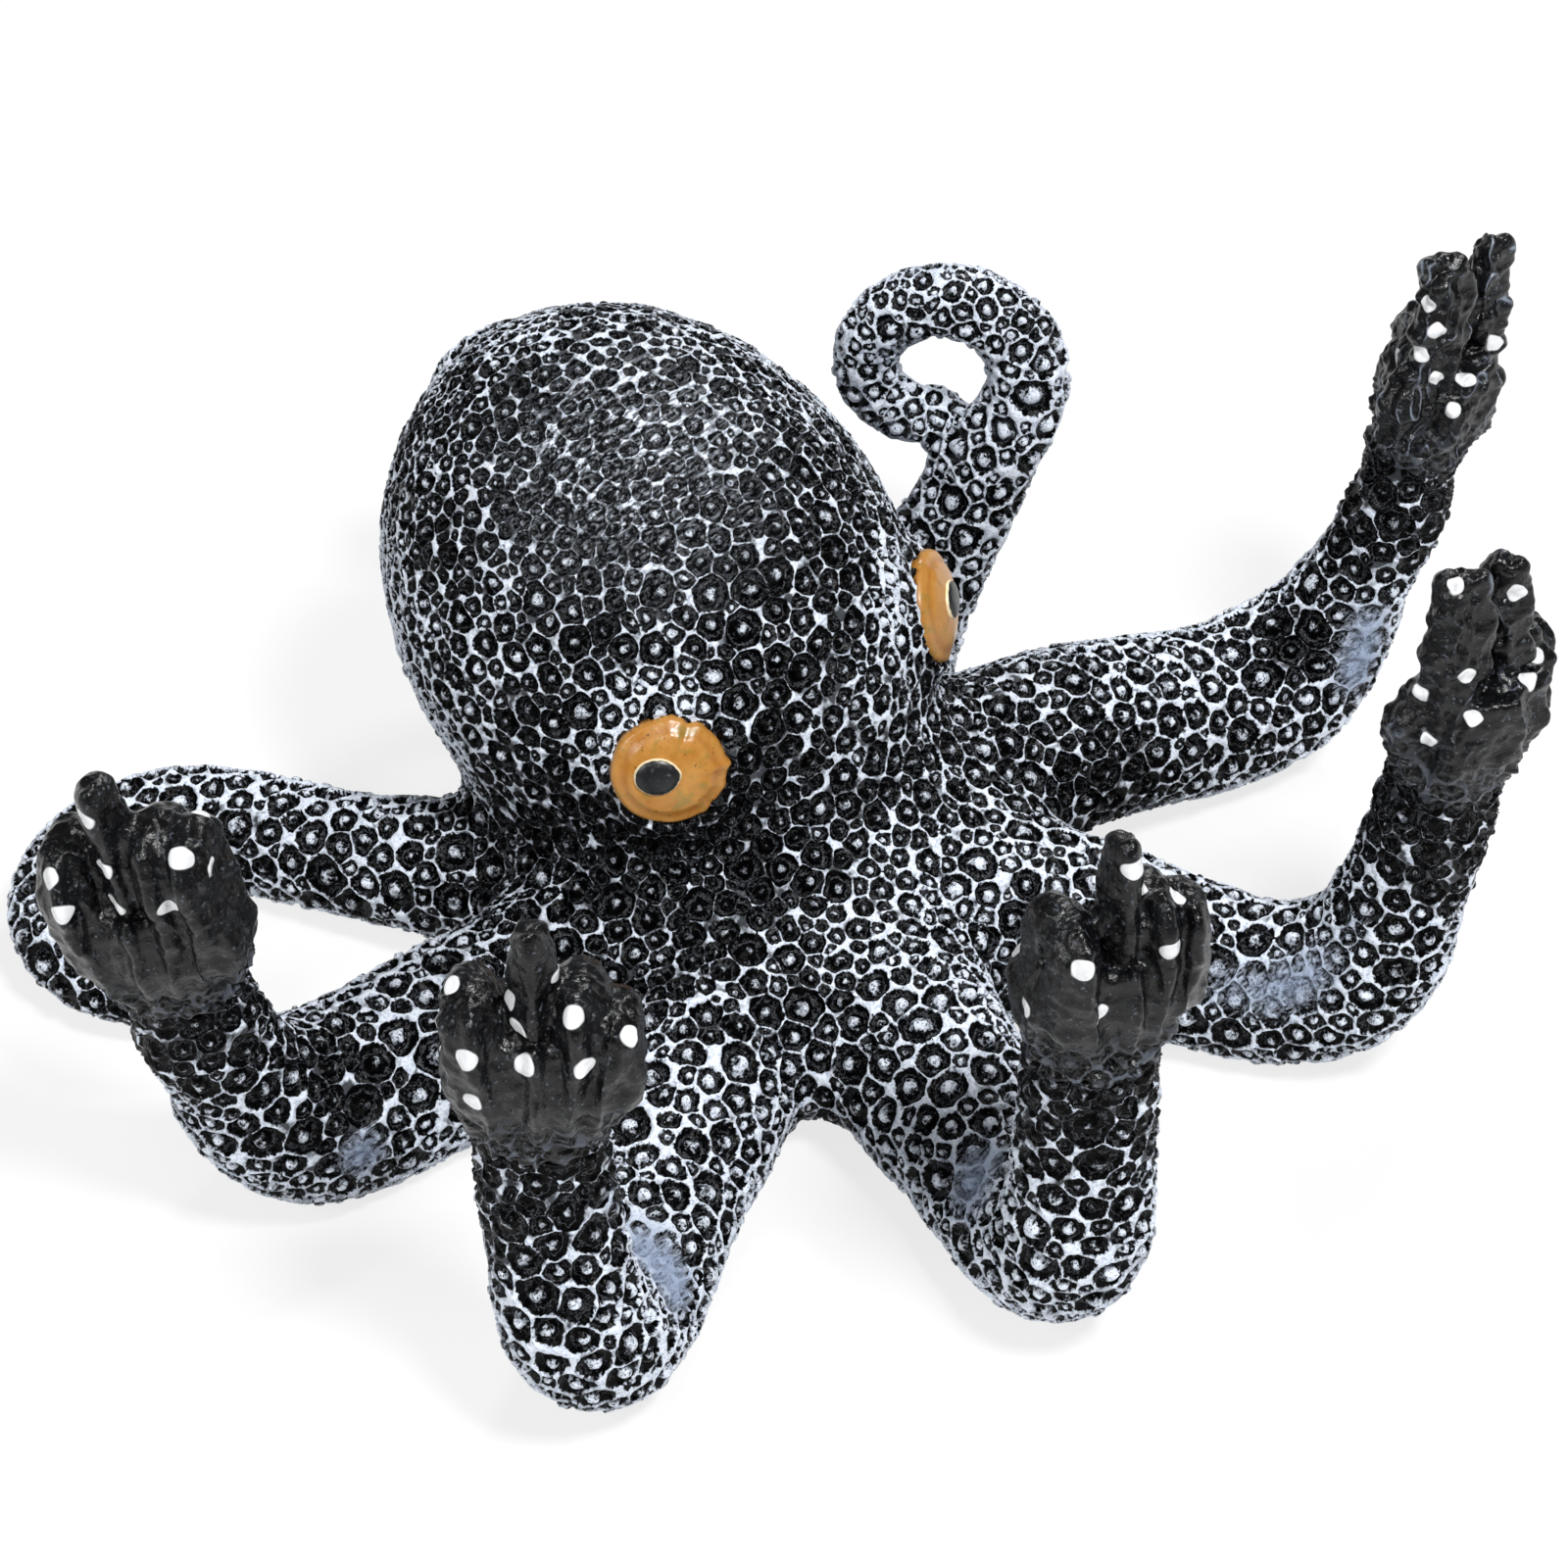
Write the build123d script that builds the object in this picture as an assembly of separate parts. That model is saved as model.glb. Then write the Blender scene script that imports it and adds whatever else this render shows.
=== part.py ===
"""Octopus figurine in painted cast resin: a body, eight separately cast arms and five cast fists.

Millimetres. +Z is up and z = 0 is the sanded underside. The octopus faces -Y and +X is its left.
Every arm plugs into a socket in the body with a keyed tenon cast on its root, and every fist sits on
its forearm over a steel wrist pin. Headings are degrees from straight ahead, positive to its left.
"""

from build123d import *
import math
import os

# Body
mantle_length = 62.0
mantle_girth = 49.8
mantle_tilt = 41.0
mantle_centre_y = 17.5
mantle_centre_z = 33.0
crown_radius = 28.0
crown_centre_y = 2.5
crown_height = 29.0

# Eyes
eye_spacing = 35.6
eye_y = -3.2
eye_z = 34.0
eye_turn = 38.0
eye_lift = 22.0
eye_diameter = 11.6
eye_dome = 1.8
eye_seat = 1.2
eye_mound_radius = 7.6
pupil_length = 4.4
pupil_width = 3.7
pupil_dome = 0.5
pupil_seat = 0.6
pupil_shift = 1.3
pupil_edge = 0.35
inset_gap = 0.05

# Arms
root_reach = 9.0
root_radius = 11.0
root_height = 10.5
joint_reach = 32.0
joint_radius = 9.4
shoulder = 8.6
arm_radius = 8.2
elbow_radius = 8.0
elbow_sit = 0.83
forearm_radius = 6.3
wrist_radius = 5.8
wrist_run = 7.0
root_bend = 25.0
wrist_bend = 14.0

# Tenons and pins
tenon_side = 7.0
tenon_length = 7.0
tenon_corner = 1.2
tenon_draft = 3.0
glue_gap = 0.15
socket_relief = 0.6
pin_diameter = 2.6
pin_length = 13.0
pin_gap = 0.05
pin_relief = 0.5

# Fists. Rows and girths of the fingers are shares of half the width and of the finger radius
fist_width = 17.2
fist_depth = 9.6
palm_shift = 0.65
knuckle_height = 12.3
finger_radius = 2.35
finger_fold = 1.04
finger_root = 7.6
back_set = 1.2
folded_tip_height = 6.5
palm_height = 9.5
thumb_radius = 2.2
thumb_bend = 3.0
index_bend = 8.0
finger_rows = {"index": -0.58, "middle": 0.06, "ring": 0.48, "little": 0.85}
finger_girths = {"index": 1.1, "middle": 0.88, "ring": 1.0, "little": 0.86}
open_index = [(0.0, 6.0), (-2.0, 15.0), (-3.3, 24.2)]
open_thumb = [(-1.0, 3.0), (-4.2, 5.2), (-3.9, 11.6)]

# Arms that end in a fist: height of the root, reach and bend of the elbow, reach and height of the wrist,
# lean and twist of the fist, how stout the upper arm and the forearm are, and the size of the fist. finger is
# where the raised finger starts and ends toward the back of the hand, raised is its height, drops lower the
# folded knuckles, and an open fist has its first finger and thumb half raised
fist_arms = {
    "left_1": dict(
        heading=26.4, shoulder=8.6, elbow=58.0, bend=13.0, wrist=64.2, rise=38.6, swing=0.0,
        lean=7.0, twist=0.0, stout=(0.97, 0.95), size=0.97,
        finger=(2.6, 0.0), raised=25.9, drops=dict(ring=1.0, little=2.0), is_open=True,
    ),
    "left_2": dict(
        heading=73.5, shoulder=13.0, elbow=61.0, bend=13.0, wrist=70.0, rise=39.0, swing=-4.0,
        lean=8.0, twist=-22.0, stout=(1.06, 0.84), size=0.92,
        finger=(4.4, 3.2), raised=26.4, drops=dict(ring=1.0, little=2.0), is_open=True,
    ),
    "right_1": dict(
        heading=-20.8, shoulder=8.6, elbow=61.8, bend=11.5, wrist=62.0, rise=38.2, swing=0.2,
        lean=2.0, twist=0.0, stout=(0.93, 1.02), size=0.89,
        finger=(2.0, 1.5), raised=28.4, drops=dict(index=-3.0, ring=-4.0, little=-3.2), is_open=False,
    ),
    "right_2": dict(
        heading=-60.5, shoulder=8.6, elbow=70.5, bend=10.5, wrist=67.5, rise=37.0, swing=-3.4,
        lean=3.0, twist=14.0, stout=(0.94, 1.0), size=1.0,
        finger=(2.0, 1.5), raised=24.6, drops=dict(index=0.0, ring=-1.5, little=0.4), is_open=False,
    ),
    "right_3": dict(
        heading=-98.5, shoulder=8.6, elbow=59.5, bend=14.0, wrist=68.8, rise=34.0, swing=1.1,
        lean=13.0, twist=44.0, stout=(1.16, 0.98), size=1.0,
        finger=(2.0, 1.5), raised=28.0, drops=dict(index=-2.4, ring=-5.5, little=-5.6), is_open=False,
    ),
}

# Arms that stand up into a curl: set_out moves the joint outward, and the curl turns in an upright plane
# along curl_heading
standing_arms = {
    "left_3": dict(heading=118.5, set_out=0.0, curl_heading=44.0, curl_at=(16.8, 36.2), behind=46.0),
    "left_4": dict(heading=163.0, set_out=5.0, curl_heading=44.0, curl_at=(-25.5, 31.5), behind=43.0),
}
curl_radius = 8.6
curl_start = -17.0
curl_turn = 285.0
curl_drift = 5.0

# Arm that curls flat on the ground
lying_heading = -134.0
lying_curl_at = (-43.0, 41.8)
lying_radius = 12.8
lying_turn = 230.0
lying_height = 5.6

riser_radius = 5.2
curl_root_radius = 4.3
curl_end_radius = 3.1
lying_joint_radius = 7.6
lying_arm_radius = 6.2
lying_curl_radius = 5.0
curl_shrink = 0.95
lying_ease = 0.638
foot_run = 13.0
foot_bend = 7.5
foot_radius = 6.4
foot_height = 6.0

space = 300.0
up = Vector(0, 0, 1)


def heading_vector(degrees):
    return Vector(math.sin(math.radians(degrees)), -math.cos(math.radians(degrees)), 0)


def blend(stops, t):
    """Value at t between (position, value) stops."""
    for (t0, v0), (t1, v1) in zip(stops, stops[1:]):
        if t <= t1:
            return v0 + (v1 - v0) * (t - t0) / (t1 - t0)
    return stops[-1][1]


def along(path, stops, steps):
    """Stations (centre, direction, radius) at even steps of a path."""
    shares = [i / steps for i in range(steps + 1)]
    return [(path @ t, path % t, blend(stops, t)) for t in shares]


def rounded_end(station):
    """Stations that close a limb with a round tip."""
    centre, direction, radius = station
    turns = [math.radians(a) for a in (32, 56, 76)]
    return [(centre + direction * radius * math.sin(a), direction, radius * math.cos(a)) for a in turns]


def rounded_start(station):
    """Stations that open a limb with a round heel."""
    centre, direction, radius = station
    heel = rounded_end((centre, direction * -1, radius))
    return [(place, direction, girth) for place, _, girth in reversed(heel)]


def digit(stations, side):
    """A finger, round at both ends."""
    return limb(rounded_start(stations[0]) + stations + rounded_end(stations[-1]), side)


def limb(stations, side):
    """A smooth round limb through its stations. side is roughly square to the limb where it starts."""
    rings = []
    for centre, direction, radius in stations:
        side = (side - direction * side.dot(direction)).normalized()
        rings.append(Plane(centre, x_dir=side, z_dir=direction) * Circle(radius))
    return loft(rings)


def beyond(point, outward):
    """The half space on the outward side of a point."""
    return Plane(point, z_dir=outward) * Pos(0, 0, space / 2) * Box(space, space, space)


def above_ground(shape):
    return shape - Pos(0, 0, -space / 2) * Box(space, space, space)


def easy_bend(before, corner, after, share):
    """Radius of a bend that takes up a share of the shorter run beside its corner."""
    into = corner - before
    out = after - corner
    turn = math.radians(into.get_angle(out))
    return share * min(into.length, out.length) / math.tan(turn / 2)


def arm_frame(heading, height, reach=joint_reach):
    """Where an arm meets the body, looking outward."""
    outward = heading_vector(heading)
    centre = outward * reach + up * height
    return Plane(centre, x_dir=outward.cross(up), z_dir=outward)


def tenon(gap=0.0, relief=0.0):
    """A keyed tenon on the XY plane that points down -Z and narrows as it goes."""
    side = tenon_side + 2 * gap
    profile = RectangleRounded(side, side, tenon_corner)
    return extrude(profile, amount=-(tenon_length + relief), taper=tenon_draft)


def root_points(heading, height, reach=joint_reach):
    outward = heading_vector(heading)
    return [outward * root_reach + up * root_height, outward * reach + up * height]


def fist_frame(spec):
    """Plane at the wrist: +Z up the fist, +X the back of the hand."""
    outward = heading_vector(spec["heading"])
    wrist = heading_vector(spec["heading"] + spec["swing"]) * spec["wrist"] + up * spec["rise"]
    lean = math.radians(spec["lean"])
    axis = outward * math.sin(lean) + up * math.cos(lean)
    back = outward * math.cos(lean) - up * math.sin(lean)
    return Plane(wrist, x_dir=back.rotate(Axis((0, 0, 0), axis), spec["twist"]), z_dir=axis)


def fist_arm(spec):
    """Upper arm along the ground, round the elbow and up to the wrist."""
    outward = heading_vector(spec["heading"])
    frame = fist_frame(spec)
    upper, lower = spec["stout"]
    elbow = outward * spec["elbow"] + up * elbow_radius * upper * elbow_sit
    knee = frame.origin - frame.z_dir * wrist_run
    points = root_points(spec["heading"], spec["shoulder"]) + [elbow, knee, frame.origin]
    path = FilletPolyline(*points, radius=[root_bend, spec["bend"], wrist_bend])
    stops = [
        (0.0, root_radius),
        (0.28, joint_radius),
        (0.45, arm_radius * upper),
        (0.62, elbow_radius * upper),
        (0.8, forearm_radius * lower),
        (1.0, wrist_radius * lower),
    ]
    return limb(along(path, stops, 16), outward.cross(up))


def standing_arm(spec):
    """Along the ground, up a riser and round a shrinking loop whose tip drifts behind the riser."""
    along_curl = heading_vector(spec["curl_heading"])
    back = heading_vector(spec["curl_heading"] + 90)
    s, z = spec["curl_at"]
    centre = along_curl * s + back * spec["behind"] + up * z
    reach = joint_reach + spec["set_out"]
    foot = heading_vector(spec["heading"]) * (reach + foot_run) + up * foot_height
    first = math.radians(curl_start)
    enter = centre + along_curl * curl_radius * math.cos(first) + up * curl_radius * math.sin(first)
    points = root_points(spec["heading"], shoulder, reach) + [foot, enter]
    path = FilletPolyline(*points, radius=[root_bend, foot_bend])
    stops = [
        (0.0, root_radius),
        (0.36, joint_radius),
        (0.6, foot_radius),
        (0.8, riser_radius),
        (1.0, curl_root_radius),
    ]
    stations = along(path, stops, 14)[:-1]
    loop = []
    steps = 14
    for i in range(steps + 1):
        share = i / steps
        angle = first + math.radians(curl_turn) * share
        ring = curl_radius * (1 - (1 - curl_shrink) * share)
        place = centre + along_curl * ring * math.cos(angle) + up * ring * math.sin(angle)
        place += back * curl_drift * share
        way = up * math.cos(angle) - along_curl * math.sin(angle)
        loop.append((place, way.normalized(), blend([(0, curl_root_radius), (1, curl_end_radius)], share)))
    stations += loop + rounded_end(loop[-1])
    return limb(stations, up)


def lying_arm():
    """Along the ground and round a hook that lies flat."""
    centre = Vector(lying_curl_at[0], lying_curl_at[1], lying_height)
    start = root_points(lying_heading, shoulder)
    span = centre - start[1]
    flat_span = math.hypot(span.X, span.Y)
    turn = math.atan2(span.Y, span.X) - math.asin(lying_radius / flat_span)
    first = turn - math.pi / 2
    enter = centre + Vector(math.cos(first), math.sin(first), 0) * lying_radius
    path = FilletPolyline(*start, enter, radius=easy_bend(*start, enter, lying_ease))
    stops = [(0.0, root_radius), (0.42, lying_joint_radius), (0.7, lying_arm_radius), (1.0, lying_arm_radius)]
    stations = along(path, stops, 9)[:-1]
    loop = []
    steps = 10
    for i in range(steps + 1):
        share = i / steps
        angle = first + math.radians(lying_turn) * share
        reach = lying_radius * (1 - (1 - curl_shrink) * share)
        place = centre + Vector(math.cos(angle), math.sin(angle), 0) * reach
        way = Vector(-math.sin(angle), math.cos(angle), 0)
        girth = blend([(0, lying_arm_radius), (0.5, lying_curl_radius), (1, curl_end_radius)], share)
        loop.append((place, way, girth))
    stations += loop + rounded_end(loop[-1])
    return limb(stations, up)


def split_at_joint(whole, frame):
    """The stub that stays on the body, and the arm with its tenon."""
    outer = above_ground(whole & beyond(frame.origin, frame.z_dir))
    stub = whole - beyond(frame.origin, frame.z_dir)
    return stub, outer + frame * tenon()


def egg(length, girth):
    """A solid of revolution along X."""
    half = Ellipse(length / 2, girth / 2) & Pos(0, girth / 2) * Rectangle(length, girth)
    return revolve(half, Axis.X)


def mantle():
    """The bulb behind the eyes, on a tilted axis."""
    tilt = math.radians(mantle_tilt)
    centre = (0, mantle_centre_y, mantle_centre_z)
    place = Plane(centre, x_dir=(0, math.cos(tilt), math.sin(tilt)), z_dir=(1, 0, 0))
    return place * egg(mantle_length, mantle_girth)


def crown():
    """The dome under the mantle that the arms run out of."""
    place = Plane((0, crown_centre_y, 0), x_dir=up, z_dir=(1, 0, 0))
    return place * egg(2 * crown_height, 2 * crown_radius)


def eye_frame(side):
    """Plane of an eye's rim. side is 1 on the octopus's left and -1 on its right."""
    turn = math.radians(eye_turn)
    lift = math.radians(eye_lift)
    outward = Vector(
        side * math.sin(turn) * math.cos(lift), -math.cos(turn) * math.cos(lift), math.sin(lift)
    )
    return Plane((side * eye_spacing / 2, eye_y, eye_z), x_dir=up.cross(outward), z_dir=outward)


def eye_mound(side):
    frame = eye_frame(side)
    depth = math.sqrt(eye_mound_radius**2 - (eye_diameter / 2) ** 2)
    return Pos(*(frame.origin - frame.z_dir * depth)) * Sphere(eye_mound_radius)


def eye_recess(side):
    seat = Pos(0, 0, -eye_seat) * Cylinder(
        eye_diameter / 2 + inset_gap, eye_seat + 2 * eye_dome, align=(Align.CENTER, Align.CENTER, Align.MIN)
    )
    return eye_frame(side) * seat


def pupil_frame(side):
    """Plane on the slope of the eye's dome, toward the outer corner of the eye."""
    radius = eye_diameter / 2
    share = pupil_shift / radius
    height = eye_dome * math.sqrt(1 - share**2)
    slope = eye_dome**2 * pupil_shift / (radius**2 * height)
    return Plane((side * pupil_shift, 0, height), x_dir=(1, 0, -side * slope), z_dir=(side * slope, 0, 1))


def pupil_shape(gap=0.0):
    outline = Ellipse(pupil_length / 2 + gap, pupil_width / 2 + gap)
    return Pos(0, 0, -pupil_seat) * extrude(outline, amount=pupil_seat + pupil_dome)


def eye_ball(side):
    """A domed disc with a pocket for the pupil."""
    radius = eye_diameter / 2
    dome = Ellipse(radius, eye_dome) & Pos(radius / 2, eye_dome / 2) * Rectangle(radius, eye_dome)
    seat = Pos(radius / 2, -eye_seat / 2) * Rectangle(radius, eye_seat)
    return revolve(Plane.XZ * (dome + seat), Axis.Z) - pupil_frame(side) * pupil_shape(inset_gap)


def pupil():
    shape = pupil_shape()
    return fillet(shape.edges().group_by(Axis.Z)[-1], pupil_edge)


def finger_row(name):
    return finger_rows[name] * fist_width / 2


def finger_girth(name):
    return finger_girths[name] * finger_radius


def folded_finger(name, drop):
    """Up the back of the hand, over the knuckle and down onto the palm."""
    row = finger_row(name)
    girth = finger_girth(name)
    fold = girth * finger_fold
    back = fist_depth / 2 - girth + back_set
    top = knuckle_height - drop
    front = back - 2 * fold
    points = [
        (back, row, finger_root),
        (back, row, top + fold),
        (front, row, top + fold),
        (front, row, folded_tip_height),
    ]
    path = FilletPolyline(*points, radius=fold * 0.99)
    stations = along(path, [(0, girth), (0.35, girth), (1, girth * 0.85)], 14)
    return digit(stations, Vector(0, 1, 0))


def raised_finger(start, end, reach):
    """Straight up, fuller at its two joints."""
    row = finger_row("middle")
    girth = finger_girth("middle")
    path = Line((start, row, finger_root), (end, row, reach - girth * 0.9))
    stops = [
        (0.0, girth * 1.15),
        (0.45, girth * 1.05),
        (0.58, girth * 1.15),
        (0.7, girth),
        (0.82, girth * 1.06),
        (1.0, girth * 0.9),
    ]
    return digit(along(path, stops, 12), Vector(0, 1, 0))


def half_raised(name, profile, girth, bend):
    """A digit bent in the plane of its row, through (toward the back, up) points."""
    row = finger_row(name)
    path = FilletPolyline(*[(x, row, z) for x, z in profile], radius=bend)
    stations = along(path, [(0, girth), (0.6, girth), (1, girth * 0.85)], 14)
    return digit(stations, Vector(0, 1, 0))


def thumb():
    """From the heel of the hand across the folded fingers."""
    index = finger_row("index")
    front = fist_depth / 2 + back_set - 2 * (1 + finger_fold) * finger_radius
    points = [
        (0, index * 0.5, palm_height * 0.4),
        (front * 0.6, index - thumb_radius * 1.2, palm_height * 0.6),
        (front - thumb_radius * 0.3, index * 0.8, palm_height),
        (front - thumb_radius * 0.3, finger_row("ring") * 0.5, palm_height),
    ]
    path = FilletPolyline(*points, radius=thumb_bend)
    stations = along(path, [(0, thumb_radius * 1.2), (0.5, thumb_radius), (1, thumb_radius * 0.9)], 12)
    return digit(stations, up)


def palm(base):
    """The hand's block, from the round wrist to between the knuckles: (height, back, depth, width)."""
    sections = [
        (0.0, 0.0, base - 0.01, base),
        (palm_height * 0.45, back_set * 0.6, fist_depth * 0.55, fist_width * 0.46),
        (palm_height, back_set * 0.8, fist_depth * 0.55, fist_width * 0.5),
        (knuckle_height + finger_radius / 2, back_set, fist_depth * 0.42, fist_width * 0.46),
    ]
    return loft([Pos(back, palm_shift * z / palm_height, z) * Ellipse(x, y) for z, back, x, y in sections])


def pin(gap=0.0, relief=0.0):
    return Cylinder(pin_diameter / 2 + gap, pin_length + 2 * relief)


def fist(spec):
    """A right hand, closed, with its middle finger raised."""
    base = wrist_radius * spec["stout"][1] / spec["size"]
    shape = palm(base) + raised_finger(*spec["finger"], spec["raised"])
    for name, drop in spec["drops"].items():
        shape += folded_finger(name, drop)
    if spec["is_open"]:
        shape += half_raised("index", open_index, finger_girth("index"), index_bend)
        shape += half_raised("index", open_thumb, thumb_radius, thumb_bend)
    else:
        shape += thumb()
    return scale(shape, by=spec["size"]) - pin(pin_gap, pin_relief)


def write(shape, node):
    export_step(shape, f"parts/{node}.step")


def main():
    os.makedirs("parts", exist_ok=True)
    joints = {name: arm_frame(spec["heading"], spec["shoulder"]) for name, spec in fist_arms.items()}
    joints |= {
        name: arm_frame(spec["heading"], shoulder, joint_reach + spec["set_out"])
        for name, spec in standing_arms.items()
    }
    joints["right_4"] = arm_frame(lying_heading, shoulder)
    wholes = {name: fist_arm(spec) for name, spec in fist_arms.items()}
    wholes |= {name: standing_arm(spec) for name, spec in standing_arms.items()}
    wholes["right_4"] = lying_arm()
    body = mantle() + crown() + eye_mound(1) + eye_mound(-1)
    arms = {}
    for name, whole in wholes.items():
        stub, arms[name] = split_at_joint(whole, joints[name])
        body += stub
    body = above_ground(body)
    for frame in joints.values():
        body -= frame * tenon(glue_gap, socket_relief)
    for side in (1, -1):
        body -= eye_recess(side)
    write(body, "body")

    pins = []
    for name, spec in fist_arms.items():
        frame = fist_frame(spec)
        arms[name] -= frame * pin(pin_gap, pin_relief)
        write(frame * fist(spec), f"fist_{name}")
        pins.append(frame * pin())
    write(Compound(children=pins), "wrist_pins")
    for name, arm in arms.items():
        write(arm, f"arm_{name}")
    for side, name in ((1, "left"), (-1, "right")):
        write(eye_frame(side) * eye_ball(side), f"eye_{name}")
        write(eye_frame(side) * pupil_frame(side) * pupil(), f"pupil_{name}")


main()
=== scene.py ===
import math
import random

import bmesh
import bpy
import numpy as np
from mathutils import Matrix, Vector, noise
from mathutils.bvhtree import BVHTree
from mathutils.kdtree import KDTree


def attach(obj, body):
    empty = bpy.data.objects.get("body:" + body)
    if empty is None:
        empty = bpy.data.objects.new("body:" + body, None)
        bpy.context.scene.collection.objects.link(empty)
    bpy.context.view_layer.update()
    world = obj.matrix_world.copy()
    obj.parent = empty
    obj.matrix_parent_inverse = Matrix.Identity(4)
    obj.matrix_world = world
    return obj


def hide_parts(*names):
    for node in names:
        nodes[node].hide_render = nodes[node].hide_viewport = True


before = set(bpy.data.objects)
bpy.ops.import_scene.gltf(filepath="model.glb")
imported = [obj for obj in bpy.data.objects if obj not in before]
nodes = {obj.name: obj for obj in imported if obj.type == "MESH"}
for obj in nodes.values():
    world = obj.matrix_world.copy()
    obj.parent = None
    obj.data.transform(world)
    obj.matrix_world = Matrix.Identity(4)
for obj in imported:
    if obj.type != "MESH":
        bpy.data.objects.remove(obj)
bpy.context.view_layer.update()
mm = 0.001
scene = bpy.context.scene
print("frame loaded")


def linearColour(text):  # sRGB hex to linear RGBA
    parts = [int(text[i : i + 2], 16) / 255 for i in (1, 3, 5)]
    return [p / 12.92 if p <= 0.04045 else ((p + 0.055) / 1.055) ** 2.4 for p in parts] + [1.0]


def addNode(tree, kind, feeds=None, **settings):  # feeds are numbers, hex colours, sockets or whole nodes
    node = tree.nodes.new("ShaderNode" + kind)
    for name, value in settings.items():
        setattr(node, name, value)
    for name, value in (feeds or {}).items():
        if isinstance(value, str):
            value = linearColour(value)
        if isinstance(value, bpy.types.Node):
            value = next(out for out in value.outputs if out.enabled)
        if isinstance(value, bpy.types.NodeSocket):
            tree.links.new(value, node.inputs[name])
        else:
            node.inputs[name].default_value = value
    return node


def newMaterial(name):
    material = bpy.data.materials.new(name)
    material.use_nodes = True
    material.node_tree.nodes.clear()
    return material, material.node_tree


def headingVector(degrees):  # degrees from straight ahead, positive to the octopus's left
    turn = math.radians(degrees)
    return Vector((math.sin(turn), -math.cos(turn), 0.0))


# Camera
cameraSettings = {
    "azimuth": -46.0,
    "elevation": 40.0,
    "distance": 450.0,
    "target": (0, 0, 20),
    "focalPixels": 4680,
}

azimuth = math.radians(cameraSettings["azimuth"])
elevation = math.radians(cameraSettings["elevation"])
lookBack = Vector(
    (math.sin(azimuth) * math.cos(elevation), -math.cos(azimuth) * math.cos(elevation), math.sin(elevation))
)
cameraData = bpy.data.cameras.new("camera")
cameraData.sensor_width = 36.0
cameraData.lens = 36.0 * cameraSettings["focalPixels"] / 1600
cameraData.clip_start = 0.01
cameraData.clip_end = 10.0
camera = bpy.data.objects.new("camera", cameraData)
camera.location = (Vector(cameraSettings["target"]) + lookBack * cameraSettings["distance"]) * mm
camera.rotation_euler = lookBack.to_track_quat("Z", "Y").to_euler()
scene.collection.objects.link(camera)
scene.camera = camera


# Stage and light
stageSettings = {
    "floorSize": 40.0,
    "floorColour": "#f4f4f4",
    "shadowShare": 0.22,
    "worldColour": "#ffffff",
    "worldStrength": 0.15,
    "lamps": {
        "key": {"heading": -12, "lift": 60, "distance": 0.75, "size": 0.14, "watts": 5.2},
        "fill": {"heading": -95, "lift": 38, "distance": 0.8, "size": 0.3, "watts": 2.1},
        "rim": {"heading": 110, "lift": 50, "distance": 0.8, "size": 0.16, "watts": 2.4},
    },
}

scene.view_settings.view_transform = "Standard"
floorMesh = bpy.data.meshes.new("floor")
half = stageSettings["floorSize"] / 2
floorCorners = [(-half, -half, 0), (half, -half, 0), (half, half, 0), (-half, half, 0)]
floorMesh.from_pydata(floorCorners, [], [(0, 1, 2, 3)])
floor = bpy.data.objects.new("floor", floorMesh)
scene.collection.objects.link(floor)

# matt white paper: seen straight it is white, and it keeps a soft shadow
paper, tree = newMaterial("mattPaper")
seen = addNode(tree, "LightPath")
direct = addNode(
    tree, "Math", {0: seen.outputs["Is Camera Ray"], 1: seen.outputs["Is Glossy Ray"]}, operation="MAXIMUM"
)
direct = addNode(tree, "Math", {0: direct, 1: seen.outputs["Is Transmission Ray"]}, operation="MAXIMUM")
share = addNode(tree, "Math", {0: direct, 1: 1 - stageSettings["shadowShare"]}, operation="MULTIPLY")
matt = addNode(tree, "BsdfDiffuse", {"Color": stageSettings["floorColour"]})
glow = addNode(tree, "Emission", {"Color": (1, 1, 1, 1), "Strength": 1.0})
mixed = addNode(tree, "MixShader", {0: share, 1: matt, 2: glow})
addNode(tree, "OutputMaterial", {"Surface": mixed})
floorMesh.materials.append(paper)

world = bpy.data.worlds.new("studio")
world.use_nodes = True
scene.world = world
tree = world.node_tree
tree.nodes.clear()
sky = addNode(
    tree, "Background", {"Color": stageSettings["worldColour"], "Strength": stageSettings["worldStrength"]}
)
addNode(tree, "OutputWorld", {"Surface": sky})

for name, lamp in stageSettings["lamps"].items():
    lampData = bpy.data.lights.new(name, "AREA")
    lampData.shape = "DISK"
    lampData.size = lamp["size"]
    lampData.energy = lamp["watts"]
    light = bpy.data.objects.new(name, lampData)
    lift = math.radians(lamp["lift"])
    towards = headingVector(lamp["heading"]) * math.cos(lift) + Vector((0, 0, math.sin(lift)))
    light.location = towards * lamp["distance"]
    light.rotation_euler = towards.to_track_quat("Z", "Y").to_euler()
    scene.collection.objects.link(light)
print("camera, floor and lamps placed")


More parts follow.
